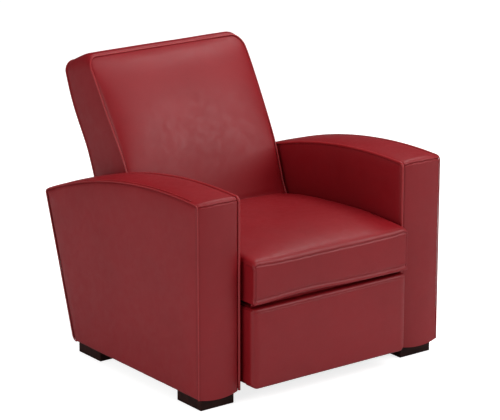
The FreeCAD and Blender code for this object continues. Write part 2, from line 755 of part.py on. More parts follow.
def make_back():
    """The reclining back: frame, webbing, pad, boxing, rear panel and hinge brackets."""
    full = (-back_half_width, back_half_width)
    outer = side_prism(back_outline(0), full).common(front_silhouette(0))
    inner = side_prism(back_outline(boxing_thickness), full).common(front_silhouette(boxing_thickness))
    front_cut = side_prism(back_outline(-stile_width, boxing_setback), (-half_width, half_width))
    shell = outer.common(front_cut).cut(inner)
    low_cut = box((-half_width, half_width), (0, beyond), (0, back_rear_foot[1]))
    rear_strip = side_prism(leaning_strip(back_rear_foot[1], back_height, -beyond, rear_panel_thickness),
                            (-half_width, half_width))
    rear_panel = outer.common(rear_strip).cut(low_cut)
    boxing = shell.cut(rear_strip).cut(low_cut)
    save("back_boxing", boxing)
    save("back_rear_panel", rear_panel)

    near = rear_panel_thickness + back_frame_gap
    far = near + stile_width
    frame_top = back_height - boxing_thickness - back_frame_drop
    stile_range = (stile_offset, stile_offset + stile_thickness)
    stile = side_prism(leaning_strip(back_bottom_height, frame_top, near, far), stile_range)
    save("left_back_stile", stile)
    save("right_back_stile", mirrored(stile))
    cross = (-stile_offset, stile_offset)
    save("back_top_rail", side_prism(leaning_strip(frame_top - back_rail_height, frame_top, near, far), cross))
    low_rail_top = back_bottom_height + back_rail_height
    save("back_bottom_rail", side_prism(leaning_strip(back_bottom_height, low_rail_top, near, far), cross))

    save("back_webbing", back_webbing(low_rail_top, frame_top, far))

    save("back_pad", back_pad(boxing, far))

    plate_range = (stile_range[1], stile_range[1] + plate_thickness)
    low_front = (rear_line(bracket_reach_low, far), bracket_reach_low)
    low_rear = (rear_line(bracket_reach_low, near + bracket_inset), bracket_reach_low)
    high_rear = (rear_line(bracket_reach_high, near + bracket_inset), bracket_reach_high)
    high_front = (rear_line(bracket_reach_high, far), bracket_reach_high)
    plate = side_prism(side_wire(low_front, [low_rear, high_rear, high_front]), plate_range)
    plate = plate.fuse(bar(back_pivot, (low_rear[0] - bracket_lap, back_pivot[1]), 2 * plate_margin, plate_range))
    plate = plate.removeSplitter()
    plate = plate.cut(x_cylinder(back_stub_radius + running_clearance, (plate_range[0] - lap, plate_range[1] + lap),
                                 back_pivot))
    save("left_back_bracket", plate)
    save("right_back_bracket", mirrored(plate))

    arm_near = back_rod_offset + eye_thickness / 2 + eye_side_gap
    arm_range = (arm_near, arm_near + drive_arm_thickness)
    rail_middle = rear_line(back_bottom_height, (near + far) / 2)
    foot_level = back_bottom_height - drive_foot_thickness
    foot = box((arm_range[0] - drive_foot_reach, arm_range[1] + drive_foot_reach),
               (rail_middle - link_width, rail_middle + link_width), (foot_level, back_bottom_height))
    drive = bar((rail_middle, back_bottom_height), back_pin_place, link_width, arm_range)
    drive = drive.common(box(arm_range, (0, beyond), (0, foot_level))).fuse(foot)
    pin_start = back_rod_offset - eye_thickness / 2 - drive_pin_stand
    drive = drive.fuse(x_cylinder(drive_pin_radius, (pin_start, arm_range[1]), back_pin_place))
    save("back_drive_arm", drive)


def back_webbing(low, high, far):
    """Elastic straps over the front of the back's frame: upright ones, and level ones across them."""
    straps = []
    first = far + frame_gap
    second = first + webbing_thickness
    third = second + webbing_thickness
    for index in range(webbing_count):
        x = (index - (webbing_count - 1) / 2) * 2 * stile_offset / webbing_count
        upright = leaning_strip(low - back_rail_height, high, first, second)
        straps.append(side_prism(upright, (x - webbing_width / 2, x + webbing_width / 2)))
        level = low + (index + 0.5) * (high - back_rail_height - low) / webbing_count
        across = leaning_strip(level - webbing_width / 2, level + webbing_width / 2, second, third)
        straps.append(side_prism(across, (-stile_offset, stile_offset)))
    return straps


def back_pad(boxing, far):
    """The back's front pad: crowned, channelled in at its seam, with a round heel over the hinge."""
    low = back_pivot_height + pad_start_rise
    sections = []
    for share, bulge in ((0.0, 0.05), (0.12, 0.35), (0.3, 0.85), (0.5, 1.0), (0.75, 0.9), (0.92, 0.6), (1.0, 0.1)):
        height = low + share * (back_height - low)
        front = seam_depth(height)
        rear = max(rear_line(min(height, back_rear_top[1]), far), front + pad_least_thickness)
        sections.append(pad_section(height, back_half_width, front, rear, back_crown * bulge))
    pad = Part.makeLoft(sections, True, True)
    above = side_wire((seam_top_depth, back_height), [
        back_rear_top, (beyond, back_rear_top[1]), (beyond, beyond), (seam_top_depth, beyond)])
    pad = pad.common(front_silhouette(0)).cut(side_prism(above, (-half_width, half_width))).cut(boxing)
    frame_front = far + frame_gap + 2 * webbing_thickness + pad_gap
    pad = pad.cut(side_prism(leaning_strip(back_rear_foot[1], back_height + lap, -beyond, frame_front),
                             (-half_width, half_width)))
    heel_end = stile_offset - heel_side_gap
    heel = x_cylinder(back_heel_radius, (-heel_end, heel_end), back_pivot)
    heel = heel.common(box((-half_width, half_width), (0, back_pivot_depth - back_heel_front),
                           (back_pivot_height - back_heel_drop, low)))
    relief = box((stile_offset - relief_side, half_width), (back_pivot_depth - plate_margin - relief_front, beyond),
                 (0, relief_height))
    return pad.cut(relief).cut(mirrored(relief)).fuse(heel)


def make_chassis():
    """Cross tubes with their studs into the arms, and side plates with their pivots."""
    tubes = []
    for name, depth in (("front_cross_tube", front_tube_depth), ("rear_cross_tube", rear_tube_depth)):
        tube = box((-inner_face, inner_face), (depth, depth + tube_depth), (tube_bottom, tube_top))
        bore = box((tube_wall - inner_face, inner_face - tube_wall),
                   (depth + tube_wall, depth + tube_depth - tube_wall),
                   (tube_bottom + tube_wall, tube_top - tube_wall))
        save(name, tube.cut(bore))
        tubes.append(tube)
    plate_range = (plate_face, plate_face + plate_thickness)
    front_top = (crank_pivot[0] - plate_margin, plate_top)
    outline = side_wire(front_top, [
        (rear_tube_depth + tube_depth + plate_margin, plate_top),
        (back_pivot[0] - plate_margin, back_pivot[1]),
        ((back_pivot[0], back_pivot[1] + plate_margin), (back_pivot[0] + plate_margin, back_pivot[1])),
        (rear_tube_depth + tube_depth + 2 * plate_margin, tube_bottom),
        (rear_pivot[0] + 2 * plate_margin, tube_bottom),
        (rear_pivot[0] + plate_margin, rear_pivot[1] - plate_margin),
        (rear_pivot[0] - plate_margin, rear_pivot[1] - plate_margin),
        (crank_pivot[0] - plate_margin, crank_pivot[1] - plate_margin),
    ])
    plate = side_prism(outline, plate_range)
    for place in (crank_pivot, rear_pivot):
        inner_end = link_plane - (rear_stub_stand if place == rear_pivot else 0)
        stub = x_cylinder(pin_radius, (inner_end, plate_range[0] + lap), place)
        plate = plate.fuse(stub)
    back_stub = x_cylinder(back_stub_radius, (stile_offset + stile_thickness, plate_range[0] + lap), back_pivot)
    plate = plate.fuse(back_stub)
    for tube in tubes:
        plate = plate.cut(tube)
    save("left_side_plate", plate)
    save("right_side_plate", mirrored(plate))
    board_end = inner_face + cover_thickness + frame_gap + board_thickness
    studs = [x_cylinder(frame_stud_radius, (inner_face, board_end), place) for place in frame_stud_places()]
    save("frame_studs", studs + [mirrored(stud) for stud in studs])


def slotted_eye(place, x_centre, rise, level, way):
    """The end of an actuator rod: a slot across the stroke that a drive pin rides in."""
    slot_radius = drive_pin_radius + slot_clearance
    x_range = (x_centre - eye_thickness / 2, x_centre + eye_thickness / 2)
    low = (place[0], level - rise)
    high = (place[0], level + rise)
    reach = slot_radius + eye_wall
    ends = (place[0] - way * reach, place[0] + way * (reach + eye_neck))
    eye = box(x_range, (min(ends), max(ends)), (low[1] - reach, high[1] + reach))
    return eye.cut(bar(low, high, 2 * slot_radius, (x_range[0] - lap, x_range[1] + lap)))


def y_cylinder(radius, x, level, first, second):
    """A round bar along Y between two depths."""
    return Part.makeCylinder(radius, abs(second - first), V(x, min(first, second), level), V(0, 1, 0))


def make_actuator(name, x, place, travel, arm_length, forward, hanger_depth):
    """A linear actuator: motor, gearbox and tube held to the chassis, and the sliding rod.

    The rod always moves forward. One that pushes has its tube behind the pin, and one that pulls has it in front.
    A hanger runs from the clamp round its tube to the cross tube at hanger_depth.
    """
    sagitta = arm_length * (1 - math.cos(math.radians(travel / 2)))
    stroke = 2 * arm_length * math.sin(math.radians(travel / 2))
    level = place[1] - sagitta / 2
    way = 1 if forward else -1
    eye = slotted_eye(place, x, sagitta / 2 + slot_spare, level, way)
    eye_reach = drive_pin_radius + slot_clearance + eye_wall + eye_neck
    mouth = place[0] + way * (eye_reach + eye_room) - (0 if forward else stroke)
    rod_start = place[0] + way * (eye_reach - lap)
    rod_end = mouth + way * (rod_held + (stroke if forward else 0))
    bore_end = rod_end + way * (rod_end_room + (0 if forward else stroke))
    save(name + "_rod", y_cylinder(rod_radius, x, level, rod_start, rod_end).fuse(eye))
    tube_end = mouth + way * (stroke + tube_spare)
    tube = y_cylinder(actuator_radius, x, level, mouth, tube_end)
    bore = y_cylinder(rod_radius + rod_clearance, x, level, mouth - way, bore_end)
    gear_end = tube_end + way * gearbox_size
    gear_low = level - gearbox_size / 2
    gearbox = box((x - gearbox_size / 2, x + gearbox_size / 2), (min(tube_end, gear_end), max(tube_end, gear_end)),
                  (gear_low, level + actuator_radius))
    motor = Part.makeCylinder(motor_radius, motor_length,
                              V(x, (tube_end + gear_end) / 2, gear_low - motor_length / 2), V(0, 0, 1))
    reach = actuator_radius + clamp_thickness
    saddle = sorted((mouth + way * clamp_setback, mouth + way * (clamp_setback + clamp_width)))
    clamp = box((x - reach, x + reach), saddle, (level - reach, tube_bottom))
    hanger = box((x - reach, x + reach), (min(saddle[0], hanger_depth), max(saddle[1], hanger_depth + tube_depth)),
                 (tube_bottom - hanger_thickness, tube_bottom))
    save(name, tube.fuse(gearbox).fuse(motor).fuse(clamp).cut(bore).fuse(hanger))


def make_valance():
    """The fixed panel between the arms below the back, with the power inlet."""
    top = back_rear_foot[1] - valance_gap
    inner = (valance_side_gap - inner_face, inner_face - valance_side_gap)
    outline = side_wire((arm_rear(valance_bottom), valance_bottom), [
        (arm_rear(top), top), (arm_rear(top) - valance_thickness, top),
        (arm_rear(valance_bottom) - valance_thickness, valance_bottom)])
    valance = side_prism(outline, inner)
    lean = math.degrees(math.atan(arm_lean))
    centre = V(inlet_offset, arm_rear(inlet_level), inlet_level)

    def leaning_box(width, height, start, end):
        block = box((-width / 2, width / 2), (start, end), (-height / 2, height / 2))
        block.rotate(V(0, 0, 0), V(1, 0, 0), -lean)
        block.translate(centre)
        return block

    body = leaning_box(inlet_width, inlet_height, -valance_thickness - inlet_stand_in, 0)
    flange = leaning_box(inlet_width + 2 * inlet_flange, inlet_height + 2 * inlet_flange, 0, inlet_flange_thickness)
    socket = leaning_box(inlet_width - 2 * inlet_wall, inlet_height - 2 * inlet_wall, -inlet_socket_depth,
                         inlet_flange_thickness + lap)
    way = leaning_box(inlet_width + 2 * inlet_clearance, inlet_height + 2 * inlet_clearance,
                      -valance_thickness - inlet_stand_in, inlet_stand_in)
    save("rear_valance", valance.cut(way))
    inlet = body.fuse(flange).cut(socket)
    for side_sign in (-1, 1):
        contact = leaning_box(inlet_pin_width, inlet_pin_height, -inlet_socket_depth - lap, -inlet_pin_drop)
        contact.translate(V(side_sign * inlet_pin_pitch / 2, 0, 0))
        inlet = inlet.fuse(contact)
    save("power_inlet", inlet)


def make_switch():
    """The switch plate with four push buttons."""
    face = -inner_face
    depth_low = switch_depth - switch_width / 2
    depth_high = switch_depth + switch_width / 2
    level_low = switch_level - switch_height / 2
    level_high = switch_level + switch_height / 2
    flange = box((face, face + switch_flange), (depth_low, depth_high), (level_low, level_high))
    flange = soft_corners(flange, [(depth_low, level_low), (depth_low, level_high),
                                   (depth_high, level_low), (depth_high, level_high)], switch_corner)
    margin = switch_box_margin + button_clearance
    body = box((face - switch_box_depth + switch_box_clearance, face), (depth_low + margin, depth_high - margin),
               (level_low + margin, level_high - margin))
    plate = flange.fuse(body)
    names = (("footrest_out_button", -1, 1), ("footrest_in_button", -1, -1),
             ("back_down_button", 1, 1), ("back_up_button", 1, -1))
    for name, column, row in names:
        depth = switch_depth + column * button_pitch / 2
        level = switch_level + row * button_row_pitch / 2
        half = button_size / 2
        pocket = box((face - button_root, face + switch_flange + lap),
                     (depth - half - button_clearance, depth + half + button_clearance),
                     (level - half - button_clearance, level + half + button_clearance))
        plate = plate.cut(pocket)
        button = box((face - button_root + button_room, face + switch_flange + button_height),
                     (depth - half, depth + half), (level - half, level + half))
        save(name, button)
    save("switch_plate", plate)


os.makedirs("parts", exist_ok=True)
make_arms()
make_feet()
make_seat()
make_linkage()
make_footrest()
make_back()
make_chassis()
make_actuator("footrest_actuator", footrest_rod_offset, drive_pin_place, footrest_travel, drive_arm_length,
              True, front_tube_depth)
make_actuator("back_actuator", back_rod_offset, back_pin_place, back_travel, back_drive_arm_length,
              False, rear_tube_depth)
make_valance()
make_switch()
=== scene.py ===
"""Looks of a cinema recliner seat: red leather over foam, dark block feet and a steel footrest mechanism.

Everything is in metres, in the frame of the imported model: the sitter faces -Y, +X is the sitter's left
and +Z is up. Depths below are Y values.
"""
import json
import math

import bpy
import numpy as np
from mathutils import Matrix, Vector, noise


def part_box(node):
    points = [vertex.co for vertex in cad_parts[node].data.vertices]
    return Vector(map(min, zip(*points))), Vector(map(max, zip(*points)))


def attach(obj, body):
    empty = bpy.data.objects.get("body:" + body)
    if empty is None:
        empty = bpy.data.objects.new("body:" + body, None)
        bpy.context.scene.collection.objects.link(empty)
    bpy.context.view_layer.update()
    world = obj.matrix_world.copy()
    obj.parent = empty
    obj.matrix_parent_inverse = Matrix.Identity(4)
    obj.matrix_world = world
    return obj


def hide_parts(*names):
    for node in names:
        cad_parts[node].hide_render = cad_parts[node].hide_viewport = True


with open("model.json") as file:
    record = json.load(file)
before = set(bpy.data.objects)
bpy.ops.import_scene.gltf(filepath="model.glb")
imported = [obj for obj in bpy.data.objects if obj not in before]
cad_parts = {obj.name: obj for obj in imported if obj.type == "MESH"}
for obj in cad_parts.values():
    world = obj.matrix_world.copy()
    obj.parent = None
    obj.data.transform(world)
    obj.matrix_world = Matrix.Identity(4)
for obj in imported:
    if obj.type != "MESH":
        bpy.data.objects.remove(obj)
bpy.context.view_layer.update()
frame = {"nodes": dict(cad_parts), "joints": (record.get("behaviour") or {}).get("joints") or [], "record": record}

# Camera, fitted to the photograph at an overall width of 0.914 m
photo_width = 500
photo_focal_pixels = 2420.6
view_azimuth = math.radians(36.95)
view_elevation = math.radians(16.44)
view_distance = 7.5157
view_target = Vector((0.0314, -0.044, 0.4383))

# Arms
half_width = 0.457
inner_face = 0.305
arm_front = -0.444
arm_bottom = 0.040
arch_top = 0.633
arch_depth = -0.328
arch_radius = 1.8
arm_rear_top = (0.365, 0.4942)
arm_rear_bottom = (0.223, 0.040)
arm_rear_slope = (arm_rear_top[0] - arm_rear_bottom[0]) / (arm_rear_top[1] - arm_rear_bottom[1])
arm_front_roll = 0.014
arm_rear_roll = 0.010
arm_heel_roll = 0.022
band_edge_roll = 0.006
band_crown = 0.006
band_seam_width = 0.0012
band_seam_depth = 0.0034
panel_puff = 0.006
panel_seam_width = 0.0022
panel_seam_depth = 0.0032
piping_radius = 0.0042
seam_ridge = 0.0019

# Points along an arm's side outline, in order from the foot of its front
front_count = 36
front_fine_count = 10
front_roll_count = 31
shoulder_count = 8
arch_count = 60
rear_roll_count = 9
rear_count = 34
heel_count = 9
band_seam_point = front_count + front_fine_count + 9
shoulder_end = front_count + front_fine_count + front_roll_count + shoulder_count
rear_roll_middle = shoulder_end + arch_count + 5

# Black cloth under the rear of the seat
seat_cloth_front = -0.270
seat_cloth_rear = 0.221
seat_cloth_half = 0.3035
seat_cloth_level = 0.0635
seat_cloth_sag = 0.004

# Seat cushion
cushion_half = 0.2925
cushion_front = -0.493
cushion_rear = 0.1005
cushion_low = 0.309
cushion_rear_low = 0.331
cushion_seam = 0.4285
cushion_corner_lift = 0.0055
cushion_crown = 0.017
cushion_roll = 0.0045
cushion_seam_share = 0.965
cushion_seam_width = 0.0016
cushion_seam_depth = 0.0030
cushion_belly = 0.0035
cushion_lip_swell = 0.0034
cushion_lip_half = 0.2575
cushion_lip_depth = 0.012
cushion_side_lip_depth = 0.090

# Footrest
footrest_half = 0.293
footrest_front = -0.491
footrest_low = 0.048
footrest_high = 0.2955
footrest_roll = 0.008
footrest_corner = 0.010
footrest_low_corner = 0.021
footrest_side_round = 0.013
footrest_side_turn = 0.026
footrest_crown = 0.003
footrest_seam_drop = 0.0095
footrest_seam_width = 0.0013
footrest_seam_depth = 0.0020
footrest_rim = 0.0058
footrest_rim_back = -0.412
footrest_board_back = -0.4506

# Back
back_half = 0.292
back_seam_top = 0.892
back_top_bulge = 0.0142
back_pivot = (0.191, 0.415)
heel_radius = 0.088
back_corner = 0.036
# Heights and depths up the seam round the back's pad
seam_places = ((0.400, 0.107), (0.460, 0.1265), (0.518, 0.1465), (0.572, 0.1647), (0.620, 0.1895),
               (0.671, 0.2216), (0.736, 0.2617), (0.817, 0.3086), (0.863, 0.3442), (0.890, 0.3651))
back_flare = 0.0045
flare_level = 0.68
back_rear_foot = (0.288, 0.298)
back_rear_knee = (0.348, 0.522)
back_rear_top = (0.493, 0.858)
back_crown = 0.040
back_crown_foot = 0.43
back_top_roll = 0.020
back_slope_probe = 0.004
rear_swell = 0.0125
welt_radius = 0.0026

# Valance, feet and rivets
valance_thickness = 0.013
valance_overlap = 0.003
foot_roll = 0.0022
rivet_radius = 0.009
rivet_height = 0.003


# Materials


def new_material(name, colour, roughness, metallic=0.0):
    """A Principled material with its nodes, tree and shader."""
    material = bpy.data.materials.new(name)
    material.use_nodes = True
    tree = material.node_tree
    shader = tree.nodes["Principled BSDF"]
    shader.inputs["Base Color"].default_value = (*colour, 1.0)
    shader.inputs["Roughness"].default_value = roughness
    shader.inputs["Metallic"].default_value = metallic
    return material, tree, shader


def texture(tree, kind, scale, coordinates, **values):
    """A texture node on shared coordinates."""
    node = tree.nodes.new(kind)
    node.inputs["Scale"].default_value = scale
    for key, value in values.items():
        node.inputs[key].default_value = value
    tree.links.new(coordinates, node.inputs["Vector"])
    return node


def ramp(tree, source, stops):
    """A colour ramp with the given (place, colour) stops."""
    node = tree.nodes.new("ShaderNodeValToRGB")
    elements = node.color_ramp.elements
    while len(elements) < len(stops):
        elements.new(0.5)
    for element, (place, colour) in zip(elements, stops):
        element.position = place
        element.color = (*colour, 1.0)
    tree.links.new(source, node.inputs["Fac"])
    return node


def spread(tree, source, low, high, from_low=0.0, from_high=1.0):
    """Map a value onto another range."""
    node = tree.nodes.new("ShaderNodeMapRange")
    node.inputs["From Min"].default_value = from_low
    node.inputs["From Max"].default_value = from_high
    node.inputs["To Min"].default_value = low
    node.inputs["To Max"].default_value = high
    tree.links.new(source, node.inputs["Value"])
    return node.outputs["Result"]


def bumps(tree, shader, layers):
    """Chain bump nodes, coarse to fine, into the shader's normal."""
    previous = None
    for source, strength, distance in layers:
        node = tree.nodes.new("ShaderNodeBump")
        node.inputs["Strength"].default_value = strength
        node.inputs["Distance"].default_value = distance
        tree.links.new(source, node.inputs["Height"])
        if previous:
            tree.links.new(previous.outputs["Normal"], node.inputs["Normal"])
        previous = node
    tree.links.new(previous.outputs["Normal"], shader.inputs["Normal"])


def object_coordinates(tree):
    return tree.nodes.new("ShaderNodeTexCoord").outputs["Object"]


def leather(name, light, dark, roughness, specular):
    """Smooth corrected-grain leather: soft mottling, fine pebble grain, pores and slight hand polish."""
    material, tree, shader = new_material(name, light, roughness)
    shader.inputs["Specular IOR Level"].default_value = specular
    place = object_coordinates(tree)
    clouds = texture(tree, "ShaderNodeTexNoise", 5.0, place, Detail=4.0, Roughness=0.6)
    colours = ramp(tree, clouds.outputs["Fac"], ((0.3, dark), (0.7, light)))
    grain = texture(tree, "ShaderNodeTexVoronoi", 620.0, place, Randomness=1.0)
    pores = texture(tree, "ShaderNodeTexNoise", 1500.0, place, Detail=2.0)
    creases = texture(tree, "ShaderNodeTexNoise", 38.0, place, Detail=3.0, Distortion=0.6)
    mix = tree.nodes.new("ShaderNodeMix")
    mix.data_type = "RGBA"
    mix.blend_type = "MULTIPLY"
    tree.links.new(spread(tree, grain.outputs["Distance"], 0.0, 0.16, 0.25, 0.75), mix.inputs["Factor"])
    tree.links.new(colours.outputs["Color"], mix.inputs["A"])
    mix.inputs["B"].default_value = (0.35, 0.25, 0.25, 1.0)
    tree.links.new(mix.outputs["Result"], shader.inputs["Base Color"])
    polish = spread(tree, creases.outputs["Fac"], roughness - 0.05, roughness + 0.06, 0.3, 0.7)
    tree.links.new(polish, shader.inputs["Roughness"])
    bumps(tree, shader, ((creases.outputs["Fac"], 0.10, 0.0015), (grain.outputs["Distance"], 0.16, 0.0004),
                         (pores.outputs["Fac"], 0.10, 0.0002)))
    return material


def wood(name, light, dark, roughness, grain_scale, specular=0.5):
    """Straight-grained wood along X."""
    material, tree, shader = new_material(name, light, roughness)
    shader.inputs["Specular IOR Level"].default_value = specular
    stretch = tree.nodes.new("ShaderNodeMapping")
    stretch.inputs["Scale"].default_value = (0.12, 1.0, 1.0)
    tree.links.new(object_coordinates(tree), stretch.inputs["Vector"])
    rings = texture(tree, "ShaderNodeTexNoise", grain_scale, stretch.outputs["Vector"],
                    Detail=6.0, Distortion=0.5)
    colours = ramp(tree, rings.outputs["Fac"], ((0.35, dark), (0.65, light)))
    tree.links.new(colours.outputs["Color"], shader.inputs["Base Color"])
    gloss = spread(tree, rings.outputs["Fac"], roughness + 0.08, roughness - 0.05)
    tree.links.new(gloss, shader.inputs["Roughness"])
    bumps(tree, shader, ((rings.outputs["Fac"], 0.15, 0.0005),))
    return material


def coated(name, colour, roughness, metallic, grain, depth):
    """Powder coat, plating or moulded plastic: a fine even texture with slight wear in the gloss."""
    material, tree, shader = new_material(name, colour, roughness, metallic)
    place = object_coordinates(tree)
    fine = texture(tree, "ShaderNodeTexNoise", grain, place, Detail=2.0)
    broad = texture(tree, "ShaderNodeTexNoise", 14.0, place, Detail=4.0)
    darker = tuple(0.7 * channel for channel in colour)
    colours = ramp(tree, broad.outputs["Fac"], ((0.3, darker), (0.6, colour)))
    tree.links.new(colours.outputs["Color"], shader.inputs["Base Color"])
    tree.links.new(spread(tree, broad.outputs["Fac"], roughness - 0.08, roughness + 0.1, 0.3, 0.7),
                   shader.inputs["Roughness"])
    bumps(tree, shader, ((fine.outputs["Fac"], 0.2, depth),))
    return material


def woven(name, colour, roughness):
    """Woven elastic webbing."""
    material, tree, shader = new_material(name, colour, roughness)
    place = object_coordinates(tree)
    warp = texture(tree, "ShaderNodeTexWave", 180.0, place)
    threads = texture(tree, "ShaderNodeTexNoise", 600.0, place, Detail=2.0)
    darker = tuple(0.55 * channel for channel in colour)
    colours = ramp(tree, warp.outputs["Fac"], ((0.2, darker), (0.8, colour)))
    tree.links.new(colours.outputs["Color"], shader.inputs["Base Color"])
    bumps(tree, shader, ((warp.outputs["Fac"], 0.4, 0.0006), (threads.outputs["Fac"], 0.2, 0.0003)))
    return material


leather_light = (0.252, 0.0038, 0.0085)
leather_dark = (0.222, 0.0028, 0.0066)
finishes = {
    "red_leather": leather("red_leather", leather_light, leather_dark, 0.47, 0.42),
    "dark_wood": wood("dark_wood", (0.030, 0.0060, 0.0040), (0.012, 0.0026, 0.0018), 0.5, 60.0, 0.15),
    "frame_wood": wood("frame_wood", (0.52, 0.34, 0.18), (0.36, 0.21, 0.10), 0.62, 40.0),
    "black_steel": coated("black_steel", (0.022, 0.022, 0.024), 0.42, 0.0, 900.0, 0.0002),
    "zinc_steel": coated("zinc_steel", (0.56, 0.56, 0.54), 0.30, 1.0, 1200.0, 0.0001),
    "spring_steel": coated("spring_steel", (0.20, 0.20, 0.21), 0.38, 1.0, 1200.0, 0.0001),
    "webbing": woven("webbing", (0.60, 0.56, 0.48), 0.85),
    "black_plastic": coated("black_plastic", (0.020, 0.020, 0.021), 0.5, 0.0, 1500.0, 0.0003),
    "button_plastic": coated("button_plastic", (0.055, 0.055, 0.058), 0.38, 0.0, 1500.0, 0.0001),
}
thread = coated("leather_thread", (0.30, 0.030, 0.034), 0.55, 0.0, 2500.0, 0.0002)
# Piping leather: its base colour is lighter than the red leather to paint the highlight along the beads, welts and
# seam ridges
piping = leather("red_piping_painted_highlight", (0.34, 0.016, 0.020), (0.30, 0.011, 0.015), 0.40, 0.5)
dust_cloth = coated("dust_cloth", (0.012, 0.012, 0.013), 0.9, 0.0, 1800.0, 0.0004)


# Mesh helpers


def piece(name, points, faces, body, slot_name="red_leather", material=None):
    """A smooth mesh piece that rides on a CAD body."""
    mesh = bpy.data.meshes.new(name)
    mesh.from_pydata([tuple(point) for point in points], [], faces)
    mesh.validate()
    mesh.update()
    mesh.polygons.foreach_set("use_smooth", [True] * len(mesh.polygons))
    shape = bpy.data.objects.new(name, mesh)
    bpy.context.collection.objects.link(shape)
    mesh.materials.append(material or finishes[slot_name])
    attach(shape, body)
    return shape


def grid_faces(rows, columns, wrap_rows=False, wrap_columns=False, start=0):
    """Quads of a grid of points stored row by row."""
    faces = []
    for row in range(rows if wrap_rows else rows - 1):
        for column in range(columns if wrap_columns else columns - 1):
            next_row = (row + 1) % rows
            next_column = (column + 1) % columns
            faces.append((start + row * columns + column, start + row * columns + next_column,
                          start + next_row * columns + next_column, start + next_row * columns + column))
    return faces


def face_outward(shape):
    """Turn every face of a closed or open piece to point away from its middle."""
    bpy.context.view_layer.objects.active = shape
    bpy.ops.object.select_all(action="DESELECT")
    shape.select_set(True)
    bpy.ops.object.mode_set(mode="EDIT")
    bpy.ops.mesh.select_all(action="SELECT")
    bpy.ops.mesh.normals_make_consistent(inside=False)
    bpy.ops.object.mode_set(mode="OBJECT")


def grid_piece(name, grid, body, finish="red_leather", material=None):
    """A piece from an array of points with shape (rows, columns, 3)."""
    rows, columns = grid.shape[:2]
    shape = piece(name, grid.reshape(-1, 3), grid_faces(rows, columns), body, finish, material)
    face_outward(shape)
    return shape


def sweep(path, ring, closed=False):
    """Points of a small section carried along a path, square to it. ring holds (across, out) pairs."""
    path = np.asarray(path, float)
    if closed:
        ahead = np.roll(path, -1, axis=0) - np.roll(path, 1, axis=0)
    else:
        ahead = np.gradient(path, axis=0)
    ahead /= np.linalg.norm(ahead, axis=1)[:, None]
    side = np.cross(ahead, np.array([0.3, 0.1, 0.95]))
    weak = np.linalg.norm(side, axis=1) < 0.2
    side[weak] = np.cross(ahead[weak], np.array([0.9, 0.3, 0.1]))
    side /= np.linalg.norm(side, axis=1)[:, None]
    for index in range(1, len(side)):
        turned = side[index - 1] - ahead[index] * np.dot(side[index - 1], ahead[index])
        side[index] = turned / np.linalg.norm(turned)
    lift = np.cross(side, ahead)
    ring = np.asarray(ring, float)
    return path[:, None, :] + side[:, None, :] * ring[None, :, :1] + lift[:, None, :] * ring[None, :, 1:]


def tube(name, path, radius, body, sides):
    """A round bead of piping along a path, with closed ends."""
    turns = np.linspace(0, 2 * math.pi, sides, endpoint=False)
    ring = np.column_stack((np.cos(turns), np.sin(turns))) * radius
    grid = sweep(path, ring)
    rows = len(grid)
    faces = grid_faces(rows, sides, wrap_columns=True)
    faces.append(tuple(range(sides)))
    faces.append(tuple(range(rows * sides - 1, (rows - 1) * sides - 1, -1)))
    # Every bead gets the piping leather, whose lighter colour is a painted highlight
    face_outward(piece(name, grid.reshape(-1, 3), faces, body, material=piping))


def along(path, step):
    """Points at an even step along a path."""
    path = np.asarray(path, float)
    lengths = np.concatenate(([0.0], np.cumsum(np.linalg.norm(np.diff(path, axis=0), axis=1))))
    places = np.arange(0.0, lengths[-1], step)
    return np.column_stack([np.interp(places, lengths, path[:, axis]) for axis in range(path.shape[1])])


def stitches(name, path, body, pitch=0.0062, length=0.0043, radius=0.00055):
    """A row of short thread stitches along a path."""
    places = along(path, pitch / 2)
    points = []
    faces = []
    ring = [(0.0, 0.0), (0.25, 1.0), (0.75, 1.0), (1.0, 0.0)]
    for index in range(0, len(places) - 1, 2):
        start = places[index]
        way = places[index + 1] - start
        way /= np.linalg.norm(way)
        side = np.cross(way, (0.31, 0.22, 0.92))
        side /= np.linalg.norm(side)
        lift = np.cross(side, way)
        base = len(points)
        for share, girth in ring:
            centre = start + way * length * share
            for turn in range(4):
                angle = math.pi / 4 + turn * math.pi / 2
                out = side * math.cos(angle) + lift * math.sin(angle)
                points.append(centre + out * radius * max(girth, 0.3))
        faces += grid_faces(4, 4, wrap_columns=True, start=base)
        faces.append((base, base + 1, base + 2, base + 3))
        faces.append((base + 15, base + 14, base + 13, base + 12))
    piece(name, points, faces, body, material=thread)


def spaced(low, high, count, crowd=1.0):
    """Values from low to high that crowd towards both ends."""
    share = np.linspace(-1.0, 1.0, count)
    bent = np.sign(share) * (1.0 - (1.0 - np.abs(share)) ** crowd)
    return low + (bent + 1.0) / 2 * (high - low)


def ripple(value, seed, scale):
    """A smooth wandering number between about -1 and 1, the same on every run."""
    return noise.noise(Vector((value * scale, seed * 7.3, seed * 1.9)))


def smooth_step(value):
    """A soft step from 0 to 1 as the value goes from 0 to 1."""
    value = np.clip(value, 0.0, 1.0)
    return value * value * (3.0 - 2.0 * value)


# Arms


def arch_level(depth, inset=0.0):
    """Height of an arm's arched top at a depth."""
    radius = arch_radius - inset
    return arch_top - arch_radius + np.sqrt(radius ** 2 - (depth - arch_depth) ** 2)


def fillet(before, corner, after, radius, count):
    """A count of points along the arc that rounds a corner of an outline."""
    before, corner, after = (np.asarray(point, float) for point in (before, corner, after))
    inward = (before - corner) / np.linalg.norm(before - corner)
    outward = (after - corner) / np.linalg.norm(after - corner)
    half_turn = math.acos(np.clip(np.dot(inward, outward), -1, 1)) / 2
    reach = radius / math.tan(half_turn)
    centre = corner + (inward + outward) / np.linalg.norm(inward + outward) * radius / math.sin(half_turn)
    first = corner + inward * reach - centre
    last = corner + outward * reach - centre
    start = math.atan2(first[1], first[0])
    turn = (math.atan2(last[1], last[0]) - start + math.pi) % (2 * math.pi) - math.pi
    angles = [start + turn * step / (count - 1) for step in range(count)]
    return [centre + radius * np.array((math.cos(angle), math.sin(angle))) for angle in angles]


